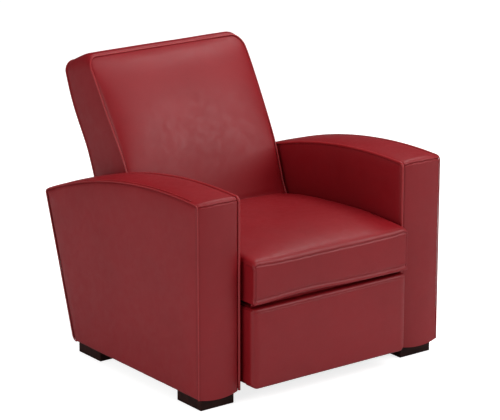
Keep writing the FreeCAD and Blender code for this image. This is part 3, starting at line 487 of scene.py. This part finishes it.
def arm_outline(inset=0.0):
    """Side outline of an arm from the front's foot, over the arch, to the rear's foot, as (depth, height)."""
    front = arm_front + inset
    draw = inset * math.hypot(1.0, arm_rear_slope)
    rear_top_depth = arm_rear_top[0] - draw
    front_top = (front, float(arch_level(front, inset)))
    rear_top = (rear_top_depth, float(arch_level(rear_top_depth, inset)))
    rear_low = (arm_rear_bottom[0] - draw, arm_bottom + inset)
    front_low = (front, arm_bottom + inset)
    arch = [(depth, float(arch_level(depth, inset)))
            for depth in np.linspace(front + 0.03, rear_top_depth - 0.03, arch_count)]
    roll = max(arm_front_roll - inset, 0.004)
    roll_start = front_top[1] - roll
    points = [(front, level) for level in np.linspace(front_low[1], roll_start - 0.010, front_count)]
    points += [(front, level)
               for level in np.linspace(points[-1][1] + 0.001, roll_start - 0.001, front_fine_count)]
    points += fillet(front_low, front_top, arch[0], roll, front_roll_count)
    points += [(depth, float(arch_level(depth, inset)))
               for depth in np.linspace(front + 0.018, front + 0.028, shoulder_count)]
    points += arch
    points += fillet(arch[-1], rear_top, rear_low, arm_rear_roll, rear_roll_count)
    start = np.asarray(points[-1])
    rear = np.asarray(fillet(rear_top, rear_low, front_low, arm_heel_roll, heel_count))
    points += [start + (rear[0] - start) * share for share in np.linspace(0.03, 0.97, rear_count)]
    points += list(rear)
    return np.array([tuple(point) for point in points])


def outline_normals(outline):
    """Outward normals of an arm's outline in the side plane."""
    ahead = np.gradient(outline, axis=0)
    ahead /= np.linalg.norm(ahead, axis=1)[:, None]
    return np.column_stack((-ahead[:, 1], ahead[:, 0]))


def arm_band(side, body_name):
    """The boxing band over the front, top and rear of an arm, with its puckered front seam."""
    outline = arm_outline()
    normals = outline_normals(outline)
    lengths = np.concatenate(([0.0], np.cumsum(np.linalg.norm(np.diff(outline, axis=0), axis=1))))
    seam = lengths[band_seam_point]
    inner = inner_face + 2 * piping_radius
    outer = half_width - 0.001
    across = spaced(inner, outer, 61, 2.2)
    middle = (inner + outer) / 2
    reach = (outer - inner) / 2
    grid = np.zeros((len(outline), len(across), 3))
    for row, (place, normal, length) in enumerate(zip(outline, normals, lengths)):
        for column, x in enumerate(across):
            share = (x - middle) / reach
            edge = max(reach - abs(x - middle), 0.0)
            rise = band_crown * (1 - abs(share) ** 2.6)
            if edge < band_edge_roll:
                rise -= band_edge_roll * (1 - math.sqrt(max(1 - (1 - edge / band_edge_roll) ** 2, 0.0))) * 0.7
            here = seam + 0.0016 * ripple(x, 3 + side, 46) + 0.0006 * ripple(x, 9, 160)
            off = length - here
            pinch = math.exp(-(off / band_seam_width) ** 2)
            pucker = math.exp(-abs(off) / 0.012) * (1 - pinch)
            rise -= band_seam_depth * pinch
            rise += pucker * (0.0009 + 0.0011 * ripple(x, 5 + side, 95))
            rise += 0.0012 * noise.noise(Vector((x * 9, length * 7, side)))
            low_hang = math.exp(-(length / 0.045)) * (1 - share * share) * 0.003
            grid[row, column] = (side * x, place[0] + normal[0] * (rise + low_hang),
                                 place[1] + normal[1] * rise)
    droop = 0.007 * (1 - ((across - middle) / reach) ** 2)
    grid[0, :, 2] -= droop
    grid[1:6, :, 2] -= droop[None, :] * np.linspace(0.8, 0.1, 5)[:, None]
    shape = grid_piece(body_name + "_arm_leather_band", grid, "chair")
    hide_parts(body_name + "_arm_band")


def arm_panel(side, body_name, outer):
    """A side panel of an arm: an upholstered sheet that puffs a little and dips at its seams."""
    inset = 0.003 if outer else 0.0025
    face = half_width - 0.0005 if outer else inner_face + 0.0005
    way = 1 if outer else -1
    front = arm_front + inset
    rows = spaced(0.0, 1.0, 61, 2.4)
    columns = spaced(0.0, 1.0, 71, 2.4)
    rear_bottom = arm_rear_bottom[0] - inset
    rear_top = arm_rear_top[0] - inset * 1.1
    grid = np.zeros((len(rows), len(columns), 3))
    for row, high in enumerate(rows):
        for column, back in enumerate(columns):
            low = np.array((front + (rear_bottom - front) * back, arm_bottom + 0.001))
            top_depth = front + (rear_top - front) * back
            top = np.array((top_depth, float(arch_level(top_depth, inset))))
            depth, level = low + (top - low) * high
            rear_here = rear_bottom + arm_rear_slope * (level - arm_bottom)
            edge = min(depth - front, (rear_here - depth) / math.hypot(1, arm_rear_slope),
                       float(arch_level(depth, inset)) - level, (level - arm_bottom) * 3 + 0.004)
            edge = max(edge, 0.0)
            puff = panel_puff * (1 - math.exp(-edge / 0.022))
            puff -= panel_seam_depth * math.exp(-edge / panel_seam_width)
            puff += 0.0010 * (noise.noise(Vector((depth * 5, level * 5, 3 + side + way))))
            puff += 0.0006 * math.exp(-edge / 0.03) * ripple(depth + level, 2, 60)
            grid[row, column] = (side * (face + way * (puff - 0.002)), depth, level)
    if outer:
        round_corner(grid, (rear_bottom, arm_bottom), (-1, 1), arm_heel_roll)
    label = "outer" if outer else "inner"
    shape = grid_piece(f"{body_name}_arm_leather_{label}", grid, "chair")
    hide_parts(f"{body_name}_arm_{label}_cover")


def round_corner(grid, corner, way, radius):
    """Pull the points beyond a rounded corner of a side panel back onto its arc."""
    centre = np.array((corner[0] + way[0] * radius, corner[1] + way[1] * radius))
    for point in grid.reshape(-1, 3):
        offset = point[1:] - centre
        beyond = offset[0] * way[0] < 0 and offset[1] * way[1] < 0
        distance = math.hypot(*offset)
        if beyond and distance > radius:
            point[1:] = centre + offset * radius / distance


def set_at(x, outline):
    """A side outline as a path in space, all at one X."""
    return np.column_stack((np.full(len(outline), x), outline))


def arm_trim(side, body_name):
    """Rolled piping round the inner panel, and the French seam with its two rows of stitches outside."""
    path = set_at(side * (inner_face + piping_radius), arm_outline(piping_radius - 0.0035))
    tube(body_name + "_arm_piping", path, piping_radius, "chair", sides=12)
    groove = set_at(side * (inner_face + 2 * piping_radius + 0.0008), arm_outline(0.0022)[:rear_roll_middle])
    stitches(body_name + "_piping_stitches", groove + np.array((side * 0.0045, 0, 0)), "chair")
    edge = set_at(side * (half_width - 0.0012), arm_outline(-0.0004))
    tube(body_name + "_arm_edge_ridge", edge, seam_ridge, "chair", sides=8)
    top_outline = arm_outline(-0.0024)[shoulder_end + 1:]
    ridge = set_at(side * (half_width - 0.0085), top_outline)
    tube(body_name + "_arm_top_ridge", ridge, seam_ridge, "chair", sides=8)
    stitches(body_name + "_arm_top_stitches", set_at(side * (half_width - 0.0115), top_outline), "chair")
    side_row = set_at(side * (half_width + 0.0005), arm_outline(0.007))
    stitches(body_name + "_arm_side_stitches", side_row, "chair")


def arm_underside(side, body_name):
    """The black dust cloth stapled under an arm."""
    rows = np.linspace(arm_front + 0.008, arm_rear_bottom[0] - 0.014, 40)
    columns = np.linspace(inner_face + 0.004, half_width - 0.004, 12)
    grid = np.zeros((len(rows), len(columns), 3))
    for row, depth in enumerate(rows):
        for column, x in enumerate(columns):
            sag = 0.0015 * math.sin(math.pi * column / (len(columns) - 1))
            grid[row, column] = (side * x, depth, arm_bottom + 0.0025 - sag)
    cloth = grid_piece(body_name + "_arm_dust_cloth", grid, "chair", "webbing", dust_cloth)


def seat_underside():
    """The black dust cloth stretched between the arms, under the rear of the seat."""
    rows = np.linspace(seat_cloth_front, seat_cloth_rear, 30)
    columns = np.linspace(-seat_cloth_half, seat_cloth_half, 37)
    grid = np.zeros((len(rows), len(columns), 3))
    for row, depth in enumerate(rows):
        row_sag = seat_cloth_sag * math.sin(math.pi * row / (len(rows) - 1))
        for column, x in enumerate(columns):
            sag = row_sag * math.sin(math.pi * column / (len(columns) - 1))
            grid[row, column] = (x, depth, seat_cloth_level - sag)
    cloth = grid_piece("seat_dust_cloth", grid, "chair", "webbing", dust_cloth)


def make_arms():
    for side, name in ((1, "left"), (-1, "right")):
        arm_band(side, name)
        arm_panel(side, name, True)
        arm_panel(side, name, False)
        arm_trim(side, name)
        arm_underside(side, name)


# Blocks with rounded edges


def block_points(counts, half, roll, crowd=2.0):
    """A box of surface points with rounded edges: points, faces and the box coordinates of each point."""
    points = []
    index = {}
    faces = []
    axes = [spaced(-1.0, 1.0, count, crowd) for count in counts]

    def point_of(key):
        if key not in index:
            index[key] = len(points)
            points.append([axes[axis][key[axis]] * half[axis] for axis in range(3)])
        return index[key]

    for axis in range(3):
        first, second = (other for other in range(3) if other != axis)
        for end in (0, counts[axis] - 1):
            for a in range(counts[first] - 1):
                for b in range(counts[second] - 1):
                    keys = []
                    for da, db in ((0, 0), (1, 0), (1, 1), (0, 1)):
                        key = [0, 0, 0]
                        key[axis] = end
                        key[first] = a + da
                        key[second] = b + db
                        keys.append(tuple(key))
                    faces.append(tuple(point_of(key) for key in keys))
    flat = np.array(points)
    limit = np.asarray(half) - roll
    core = np.clip(flat, -limit, limit)
    out = flat - core
    length = np.linalg.norm(out, axis=1)
    length[length == 0] = 1.0
    return core + out * (roll / length)[:, None], faces, flat


def cushion_top(depth):
    """Height of the cushion's top along its sides: a quick roll over the front seam, then a long crown."""
    places = (-0.493, -0.4922, -0.4885, -0.480, -0.464, -0.403, -0.290, -0.174, -0.056, 0.029, 0.080, 0.1005)
    levels = (0.0, 0.0030, 0.0075, 0.0120, 0.0150, 0.0205, 0.0255, 0.0195, 0.0115, 0.0015, -0.0070, -0.0140)
    reach = min(0.045, 0.5 * (depth - cushion_front))
    spots = depth + np.linspace(-reach, reach, 9)
    return cushion_seam + float(np.mean(np.interp(spots, places, levels)))


def seat_cushion():
    """The boxed seat cushion: crowned top, seams round its front and a rolled lip along the bottom."""
    depth_middle = (cushion_front + cushion_rear) / 2
    half = (cushion_half, (cushion_rear - cushion_front) / 2, (cushion_seam - cushion_low) / 2)
    points, faces, _ = block_points((121, 111, 41), half, cushion_roll, 2.4)
    for point in points:
        x, depth, level = point
        depth += depth_middle
        across = x / half[0]
        high = min(max((level + half[2]) / (2 * half[2]), 0.0), 1.0)
        back = depth - cushion_front
        seam_lift = cushion_corner_lift * abs(across) ** 4 + 0.0012 * ripple(x, 2, 30)
        front_low = cushion_low + 0.0085 * math.exp(-((x + 0.10) / 0.15) ** 2) + 0.0012 * ripple(x, 19, 36)
        lip_depth = cushion_lip_depth if abs(x) < cushion_lip_half else cushion_side_lip_depth
        low = front_low + (cushion_rear_low - front_low) * float(smooth_step((back - lip_depth) / 0.02))
        top = cushion_top(depth) + seam_lift * math.exp(-back / 0.05)
        rear_fade = 1 - 0.45 * float(smooth_step((back - 0.38) / 0.22))
        rise = (1 - abs(across) ** 2.6) * (1 - math.exp(-max(back, 0.0) / 0.055)) * rear_fade
        side_drop = 0.012 * math.exp(-(half[0] - abs(x)) / 0.006) if high > 0.9 else 0.0
        new_level = low + high * (top - low) + (high ** 4) * (cushion_crown * rise - side_drop)
        if back < 0.030:
            pucker = math.exp(-back / 0.014) * high ** 6
            new_level += pucker * (0.0008 * ripple(x, 5, 80) - 0.0004)
        if back < 0.0075:
            off = (high - cushion_seam_share) * (2 * half[2]) - 0.0008 * ripple(x, 11, 90)
            pinch = math.exp(-(off / cushion_seam_width) ** 2)
            lip = math.exp(-high / 0.055)
            above_lip = math.exp(-((high - 0.115) / 0.030) ** 2)
            belly = math.sin(math.pi * high) ** 0.7 * (1 - across ** 6)
            depth += cushion_seam_depth * pinch - cushion_belly * belly
            depth += cushion_lip_swell * (above_lip - lip)
            depth += 0.0009 * ripple(x, 17, 44) * lip
            edge = half[0] - abs(x)
            depth += 0.0022 * math.exp(-((edge - 0.0065) / 0.0014) ** 2) * (0.05 < high < 0.97)
        depth += 0.0006 * noise.noise(Vector((x * 7, level * 9, 1.3)))
        point[:] = (x * (1 - 0.004 * math.sin(math.pi * high)), depth, new_level)
    shape = piece("seat_cushion_leather", points, faces, "chair")
    face_outward(shape)
    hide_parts("seat_cushion")


def footrest_pad():
    """The padded footrest panel: leather wrapped round its edges and turned in round the board's back."""
    half = (footrest_half, (footrest_rim_back - footrest_front) / 2, (footrest_high - footrest_low) / 2)
    middle_depth = (footrest_rim_back + footrest_front) / 2
    middle_level = (footrest_high + footrest_low) / 2
    points, faces, flat = block_points((111, 31, 81), half, footrest_roll, 2.2)
    seam_level = half[2] - footrest_seam_drop
    for point, raw in zip(points, flat):
        x, depth, level = point
        corner = footrest_corner if level > 0 else footrest_low_corner
        over_x = abs(x) - (half[0] - corner)
        over_level = abs(level) - (half[2] - corner)
        if over_x > 0 and over_level > 0:
            share = max(over_x, over_level) / math.hypot(over_x, over_level)
            x = math.copysign(half[0] - corner + over_x * share, x)
            level = math.copysign(half[2] - corner + over_level * share, level)
        across = x / half[0]
        high = level / half[2]
        if depth < 0:
            swell = (1 - across ** 6) * (1 - abs(high) ** 6) * footrest_crown
            wave = 0.0006 * ripple(x, 4, 40)
            pinch = math.exp(-((level - seam_level - wave) / footrest_seam_width) ** 2)
            depth -= swell - footrest_seam_depth * pinch
            depth += 0.0007 * noise.noise(Vector((x * 6, level * 6, 8.1)))
            turn = min(max((abs(x) - (half[0] - footrest_side_turn)) / footrest_side_turn, 0.0), 1.0)
            near_front = min(max(1 - (depth + half[1]) / 0.032, 0.0), 1.0)
            depth += footrest_side_round * (1 - math.sqrt(1 - turn ** 2)) * near_front
        inside = abs(raw[0]) < half[0] - footrest_rim and abs(raw[2]) < half[2] - footrest_rim
        if raw[1] > half[1] - 1e-6 and inside:
            depth = footrest_board_back - middle_depth
        shallow = depth + middle_depth - footrest_board_back
        if abs(x) < half[0] - footrest_rim - 0.002 and shallow > 0:
            depth -= shallow * 0.8
        point[:] = (x, depth + middle_depth, level + middle_level)
    shape = piece("footrest_pad_leather", points, faces, "footrest")
    shape.data.materials.append(dust_cloth)
    for face in shape.data.polygons:
        if all(abs(points[index][1] - footrest_board_back) < 1e-4 for index in face.vertices):
            face.material_index = 1
    face_outward(shape)
    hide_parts("footrest_pad")
    path = [(x, footrest_front - 0.0024, footrest_high - 0.0128)
            for x in np.linspace(-footrest_half + 0.014, footrest_half - 0.014, 90)]
    stitches("footrest_stitches", path, "footrest")


def front_rail_cover():
    """Leather over the front and the underside of the seat's front rail."""
    profile = [(-0.4748, 0.3300), (-0.4752, 0.3150), (-0.4750, 0.3012), (-0.4720, 0.3000), (-0.4500, 0.2998),
               (-0.4180, 0.2998)]
    columns = np.linspace(-0.290, 0.290, 61)
    grid = np.zeros((len(profile), len(columns), 3))
    for row, (depth, level) in enumerate(profile):
        for column, x in enumerate(columns):
            grid[row, column] = (x, depth + 0.0005 * ripple(x, row, 30), level)
    cover = grid_piece("front_rail_leather", grid, "chair")


# Back


seam_levels, seam_depths = np.array(seam_places).T
seam_curve = np.polynomial.Polynomial.fit(seam_levels, seam_depths, 5)
face_curve = np.polynomial.Polynomial.fit(seam_levels, seam_depths, 3)


def curve_depth(curve, level):
    """Depth of a fitted curve up the back, run smoothly into the heel's arc at the hinge's height."""
    if level <= back_pivot[1]:
        drop = min(back_pivot[1] - level, heel_radius * 0.95)
        return back_pivot[0] - math.sqrt(heel_radius ** 2 - drop ** 2)
    step = back_pivot[0] - heel_radius - float(curve(back_pivot[1]))
    return float(curve(level)) + step * math.exp(-(level - back_pivot[1]) / 0.03)


def seam_depth(level):
    """Depth of the seam round the back's pad at a height."""
    return curve_depth(seam_curve, level)


def rear_depth(level):
    """Depth of the back's rear face at a height, with a soft knee."""
    low_slope = (back_rear_knee[0] - back_rear_foot[0]) / (back_rear_knee[1] - back_rear_foot[1])
    high_slope = (back_rear_top[0] - back_rear_knee[0]) / (back_rear_top[1] - back_rear_knee[1])
    off = level - back_rear_knee[1]
    soft = 0.05
    bend = (off + math.hypot(off, soft)) / 2 - soft / 2
    swell = rear_swell * math.sin(math.pi * min(max((level - 0.60) / 0.30, 0.0), 1.0)) ** 1.3
    return back_rear_knee[0] + low_slope * off + (high_slope - low_slope) * bend + swell


def half_at(level):
    """Half width of the back at a height, with its round top corners."""
    half = back_half + back_flare * math.tanh((level - flare_level) / 0.09)
    rise = level - (back_seam_top - back_corner)
    if rise <= 0:
        return half
    rise = min(rise, back_corner)
    return half - back_corner + math.sqrt(max(back_corner ** 2 - rise ** 2, 0.0))


def rear_level(level):
    """Height on the rear panel's edge that faces a height on the front seam."""
    low = back_rear_foot[1]
    scale = (back_rear_top[1] - low) / (back_seam_top - low)
    return low + (level - low) * scale


def back_levels(low, high, count):
    """Heights that crowd towards the rounded top."""
    plain = np.linspace(low, high - back_corner, count)
    turns = np.linspace(0, math.pi / 2, 18)[1:]
    return np.concatenate((plain, high - back_corner + back_corner * np.sin(turns)))


def back_front():
    """The back's front pad, crowned and rolled in at its welt, with a heel behind the seat."""
    heel = [back_pivot[1] - heel_radius * math.sin(math.radians(angle)) for angle in range(64, 0, -8)]
    levels = np.concatenate((heel, back_levels(back_pivot[1], back_seam_top, 70)))
    columns = spaced(-1.0, 1.0, 81, 2.2)
    grid = np.zeros((len(levels), len(columns), 3))
    for row, level in enumerate(levels):
        half = half_at(level)
        up = (level - back_crown_foot) / (back_seam_top - back_crown_foot)
        share_up = min(max(up * 0.90 + 0.05, 0.0), 1.0) ** 2.0
        crown = back_crown * math.sin(math.pi * share_up) ** 0.62 if up > 0 else 0.0
        rise = (curve_depth(face_curve, level + back_slope_probe)
                - curve_depth(face_curve, level - back_slope_probe))
        slope = rise / (2 * back_slope_probe) if up > 0 else 0.0
        steep = math.hypot(1.0, slope)
        roll = 1 - math.exp(-max(back_seam_top - level, 0.0) / back_top_roll)
        for column, share in enumerate(columns):
            pillow = (1 - abs(share) ** 3.2) ** 0.52
            out = crown * pillow * roll
            out += 0.0005 * pillow * noise.noise(Vector((share * 1.6, level * 4, 5.5)))
            edge = (1 - abs(share)) * half
            out -= 0.0012 * (1 - pillow) + 0.0022 * math.exp(-edge / 0.003)
            middle = min(pillow * roll, 1.0)
            depth = seam_depth(level) * (1 - middle) + curve_depth(face_curve, level) * middle
            grid[row, column] = (share * (half - 0.0008), depth - out / steep,
                                 level + out * slope / steep * 0.55 - (1 - roll) * 0.0015)
    shape = grid_piece("back_pad_leather", grid, "back")
    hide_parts("back_pad")


def seam_path(low, inset=0.0, count=70):
    """The welt's way up one side of the back, over the round corners and down the other."""
    rising = [(inset - half_at(level), seam_depth(level),
               level - (inset if level > back_seam_top - 0.01 else 0))
              for level in back_levels(low, back_seam_top, count)]
    falling = [(-x, depth, level) for x, depth, level in reversed(rising)]
    top_half = half_at(back_seam_top)
    across = [(x, rising[-1][1], rising[-1][2]) for x in np.linspace(-top_half, top_half, 40)[1:-1]]
    return np.array(rising + across + falling)


def back_boxing():
    """The boxing round the back's sides and top, slightly puffed between its two seams."""
    path = seam_path(back_rear_foot[1], 0.0, 90)
    shares = spaced(0.0, 1.0, 27, 2.0)
    grid = np.zeros((len(path), len(shares), 3))
    for row, (x, _, level) in enumerate(path):
        rear_edge = rear_level(level)
        front = np.array((x, seam_depth(level), level))
        rear = np.array((x, rear_depth(rear_edge), rear_edge))
        rise = max(level - (back_seam_top - back_corner), 0.0)
        turn = math.asin(min(rise / back_corner, 1.0))
        normal = np.array((math.copysign(math.cos(turn), x), 0.25 * math.sin(turn), math.sin(turn)))
        if rise >= back_corner - 1e-6:
            normal = np.array((0.0, 0.25, 1.0))
        upward = math.sin(turn) ** 2
        for column, share in enumerate(shares):
            puff = (1 - upward) * (0.0035 * math.sin(math.pi * share) ** 0.6 - 0.0015)
            puff += upward * (back_top_bulge * math.sin(math.pi * math.sqrt(share)) ** 0.9 - 0.001)
            puff += 0.0008 * noise.noise(Vector((level * 8, share * 3, x * 8)))
            grid[row, column] = front + (rear - front) * share + normal * puff
    shape = grid_piece("back_boxing_leather", grid, "back")
    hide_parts("back_boxing")
    welt = seam_path(0.360, -0.0004)
    tube("back_welt", welt + np.array((0, -0.0012, 0)), welt_radius, "back", sides=10)


def back_rear():
    """The plain rear panel, with its seam and stitches round the edge."""
    low = back_rear_foot[1]
    levels = back_levels(low, back_seam_top, 60)
    columns = spaced(-1.0, 1.0, 61, 2.2)
    grid = np.zeros((len(levels), len(columns), 3))
    for row, level in enumerate(levels):
        height = rear_level(level)
        for column, share in enumerate(columns):
            gap = min(1 - abs(share), (back_seam_top - level) * 4)
            puff = 0.003 * (1 - math.exp(-max(gap, 0) / 0.05)) - 0.002
            puff += 0.0008 * noise.noise(Vector((share * 3, level * 5, 2.2)))
            grid[row, column] = (share * half_at(level), rear_depth(height) + puff, height)
    shape = grid_piece("back_rear_leather", grid, "back")
    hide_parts("back_rear_panel")
    path = [(x, rear_depth(rear_level(level)), rear_level(level)) for x, _, level in seam_path(low)]
    tube("back_rear_welt", path, welt_radius * 0.8, "back", sides=8)
    inner = [(x, rear_depth(rear_level(level) - 0.006) + 0.0002, rear_level(level) - 0.004)
             for x, _, level in seam_path(low + 0.01, 0.007)]
    stitches("back_rear_stitches", inner, "back")


# Valance, feet, rivets and finishes


def within(box, x, level, margin):
    """Whether a place on the valance lies inside a node's box, grown by a margin."""
    low, high = box
    return low.x - margin < x < high.x + margin and low.z - margin < level < high.z + margin


def make_valance():
    """Leather over the fixed panel below the back, turned in at its ends and left open round the inlet."""
    low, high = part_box("rear_valance")
    rows = spaced(0.0, 1.0, 25, 2.0)
    columns = spaced(low.x - valance_overlap, high.x + valance_overlap, 61, 2.0)
    grid = np.zeros((len(rows) + 4, len(columns), 3))
    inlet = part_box("power_inlet")
    for row, share in enumerate(rows):
        level = low.z + (high.z - low.z) * share
        depth = arm_rear_bottom[0] + arm_rear_slope * (level - arm_bottom)
        for column, x in enumerate(columns):
            puff = 0.0020 * math.sin(math.pi * share) ** 0.5
            puff += 0.0009 * noise.noise(Vector((x * 6, level * 6, 9)))
            if within(inlet, x, level, 0.03):
                puff = -0.0006
            grid[row + 2, column] = (x, depth + puff + 0.0004, level)
    for extra, source in ((1, 2), (0, 2), (-2, -3), (-1, -3)):
        grid[extra] = grid[source]
        grid[extra, :, 1] -= valance_thickness * (1.0 if extra in (0, -1) else 0.15)
    points = grid.reshape(-1, 3)
    faces = []
    for face in grid_faces(*grid.shape[:2]):
        centre = np.mean([points[index] for index in face], axis=0)
        if not within(inlet, centre[0], centre[2], -0.003):
            faces.append(face)
    shape = piece("rear_valance_leather", points, faces, "chair")
    face_outward(shape)
    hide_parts("rear_valance")


def make_feet():
    """Four block feet with softened edges."""
    for side_name in ("left", "right"):
        for end in ("front", "rear"):
            node = f"{side_name}_{end}_foot"
            low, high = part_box(node)
            middle = (low + high) / 2
            half = [(high[axis] - low[axis]) / 2 for axis in range(3)]
            points, faces, _ = block_points((15, 15, 11), half, foot_roll, 2.6)
            points += np.array(middle)
            shape = piece(node + "_block", points, faces, "chair", "dark_wood")
            face_outward(shape)
            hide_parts(node)


def dome(centre, points, faces, way):
    """Add a rivet head with its axis along X to a list of points and faces."""
    start = len(points)
    rings = ((1.0, 0.0), (0.96, 0.45), (0.75, 0.8), (0.4, 1.0))
    count = 14
    for girth, rise in rings:
        for turn in range(count):
            angle = 2 * math.pi * turn / count
            points.append((centre[0] + way * rivet_height * rise,
                           centre[1] + rivet_radius * girth * math.cos(angle),
                           centre[2] + rivet_radius * girth * math.sin(angle)))
    faces += grid_faces(len(rings), count, wrap_columns=True, start=start)
    faces.append(tuple(start + (len(rings) - 1) * count + turn for turn in range(count)))


def rivet_heads():
    """Domed heads on the side plates, one on each side at each of three fixed pivots."""
    joints = {joint["name"]: joint for joint in frame["joints"]}
    plate_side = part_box("left_side_plate")[1].x
    for name in ("footrest_swing", "left_rear_link_turn", "back_recline"):
        place = joints[name]["pos_m"]
        points = []
        faces = []
        for way in (1, -1):
            dome((way * (plate_side + 0.0002), place[1], place[2]), points, faces, way)
        face_outward(piece(name + "_rivets", points, faces, "chair", "zinc_steel"))


def finish_carried_nodes():
    """Give every CAD node its finish."""
    slots = {entry["node"]: entry["material_slot"] for entry in frame["record"]["subparts"]}
    for name, node in frame["nodes"].items():
        for place in node.material_slots:
            place.material = finishes[slots[name]]


# Stage, lights and camera


def mix_shaders(tree, share, first, second):
    """A blend of two shaders by a share from 0 to 1."""
    node = tree.nodes.new("ShaderNodeMixShader")
    tree.links.new(share, node.inputs["Fac"])
    tree.links.new(first, node.inputs[1])
    tree.links.new(second, node.inputs[2])
    return node.outputs["Shader"]


def make_stage():
    """A pale floor with a soft shadow, before a white backdrop that glossy faces mirror as a dim ceiling."""
    mesh = bpy.data.meshes.new("floor")
    reach = 30.0
    mesh.from_pydata([(-reach, -reach, 0), (reach, -reach, 0), (reach, reach, 0), (-reach, reach, 0)], [],
                     [(0, 1, 2, 3)])
    floor = bpy.data.objects.new("floor", mesh)
    bpy.context.collection.objects.link(floor)
    material, tree, shader = new_material("floor_white", (0.62, 0.62, 0.62), 0.9)
    rays = tree.nodes.new("ShaderNodeLightPath")
    white = tree.nodes.new("ShaderNodeEmission")
    white.inputs["Strength"].default_value = 0.80
    both = tree.nodes.new("ShaderNodeAddShader")
    tree.links.new(shader.outputs["BSDF"], both.inputs[0])
    tree.links.new(white.outputs["Emission"], both.inputs[1])
    choice = mix_shaders(tree, rays.outputs["Is Camera Ray"], shader.outputs["BSDF"], both.outputs["Shader"])
    tree.links.new(choice, tree.nodes["Material Output"].inputs["Surface"])
    mesh.materials.append(material)

    world = bpy.data.worlds.new("studio")
    bpy.context.scene.world = world
    world.use_nodes = True
    tree = world.node_tree
    ambient = tree.nodes["Background"]
    ambient.inputs["Color"].default_value = (1, 1, 1, 1)
    ambient.inputs["Strength"].default_value = 0.42
    backdrop = tree.nodes.new("ShaderNodeBackground")
    ceiling = tree.nodes.new("ShaderNodeBackground")
    place = tree.nodes.new("ShaderNodeTexCoord")
    split = tree.nodes.new("ShaderNodeSeparateXYZ")
    tree.links.new(place.outputs["Generated"], split.inputs["Vector"])
    shade = ramp(tree, split.outputs["Z"], ((0.0, (0.22, 0.22, 0.22)), (0.08, (0.03, 0.03, 0.03))))
    tree.links.new(shade.outputs["Color"], ceiling.inputs["Color"])
    backdrop.inputs["Color"].default_value = (1, 1, 1, 1)
    rays = tree.nodes.new("ShaderNodeLightPath")
    mirrored = tree.nodes.new("ShaderNodeMath")
    mirrored.operation = "MAXIMUM"
    tree.links.new(rays.outputs["Is Glossy Ray"], mirrored.inputs[0])
    tree.links.new(rays.outputs["Is Transmission Ray"], mirrored.inputs[1])
    unseen = mix_shaders(tree, mirrored.outputs["Value"], ambient.outputs["Background"],
                         ceiling.outputs["Background"])
    seen = mix_shaders(tree, rays.outputs["Is Camera Ray"], unseen, backdrop.outputs["Background"])
    tree.links.new(seen, tree.nodes["World Output"].inputs["Surface"])


def lamp(name, place, aim, size, power, shines=True):
    """A square soft lamp aimed at a place. One that doesn't shine leaves no highlight."""
    light = bpy.data.lights.new(name, "AREA")
    light.shape = "SQUARE"
    light.size = size
    light.energy = power
    holder = bpy.data.objects.new(name, light)
    bpy.context.collection.objects.link(holder)
    holder.location = place
    holder.rotation_euler = (Vector(aim) - Vector(place)).to_track_quat("-Z", "Y").to_euler()
    holder.visible_glossy = shines


def make_lights():
    lamp("overhead_lamp", (0.5, -0.3, 3.4), (0.0, 0.0, 0.4), 2.4, 56.0, False)
    lamp("front_lamp", (2.2, -2.7, 2.45), (0.0, 0.0, 0.5), 2.1, 66.0)
    lamp("seat_lamp", (1.5, 0.35, 2.75), (0.0, -0.3, 0.4), 0.9, 14.0)
    lamp("left_lamp", (-3.4, -0.9, 1.3), (0.0, 0.0, 0.4), 2.0, 40.0)


def make_camera():
    data = bpy.data.cameras.new("camera")
    data.sensor_width = 36.0
    data.sensor_fit = "HORIZONTAL"
    data.lens = photo_focal_pixels / photo_width * data.sensor_width
    camera = bpy.data.objects.new("camera", data)
    bpy.context.collection.objects.link(camera)
    back = Vector((-math.sin(view_azimuth) * math.cos(view_elevation),
                   -math.cos(view_azimuth) * math.cos(view_elevation), math.sin(view_elevation)))
    camera.location = view_target + back * view_distance
    camera.rotation_euler = back.to_track_quat("Z", "Y").to_euler()
    bpy.context.scene.camera = camera


make_camera()
make_stage()
make_lights()
finish_carried_nodes()
make_arms()
seat_underside()
seat_cushion()
footrest_pad()
front_rail_cover()
back_front()
back_boxing()
back_rear()
make_valance()
make_feet()
rivet_heads()

scene = bpy.context.scene
scene.view_settings.view_transform = "Standard"
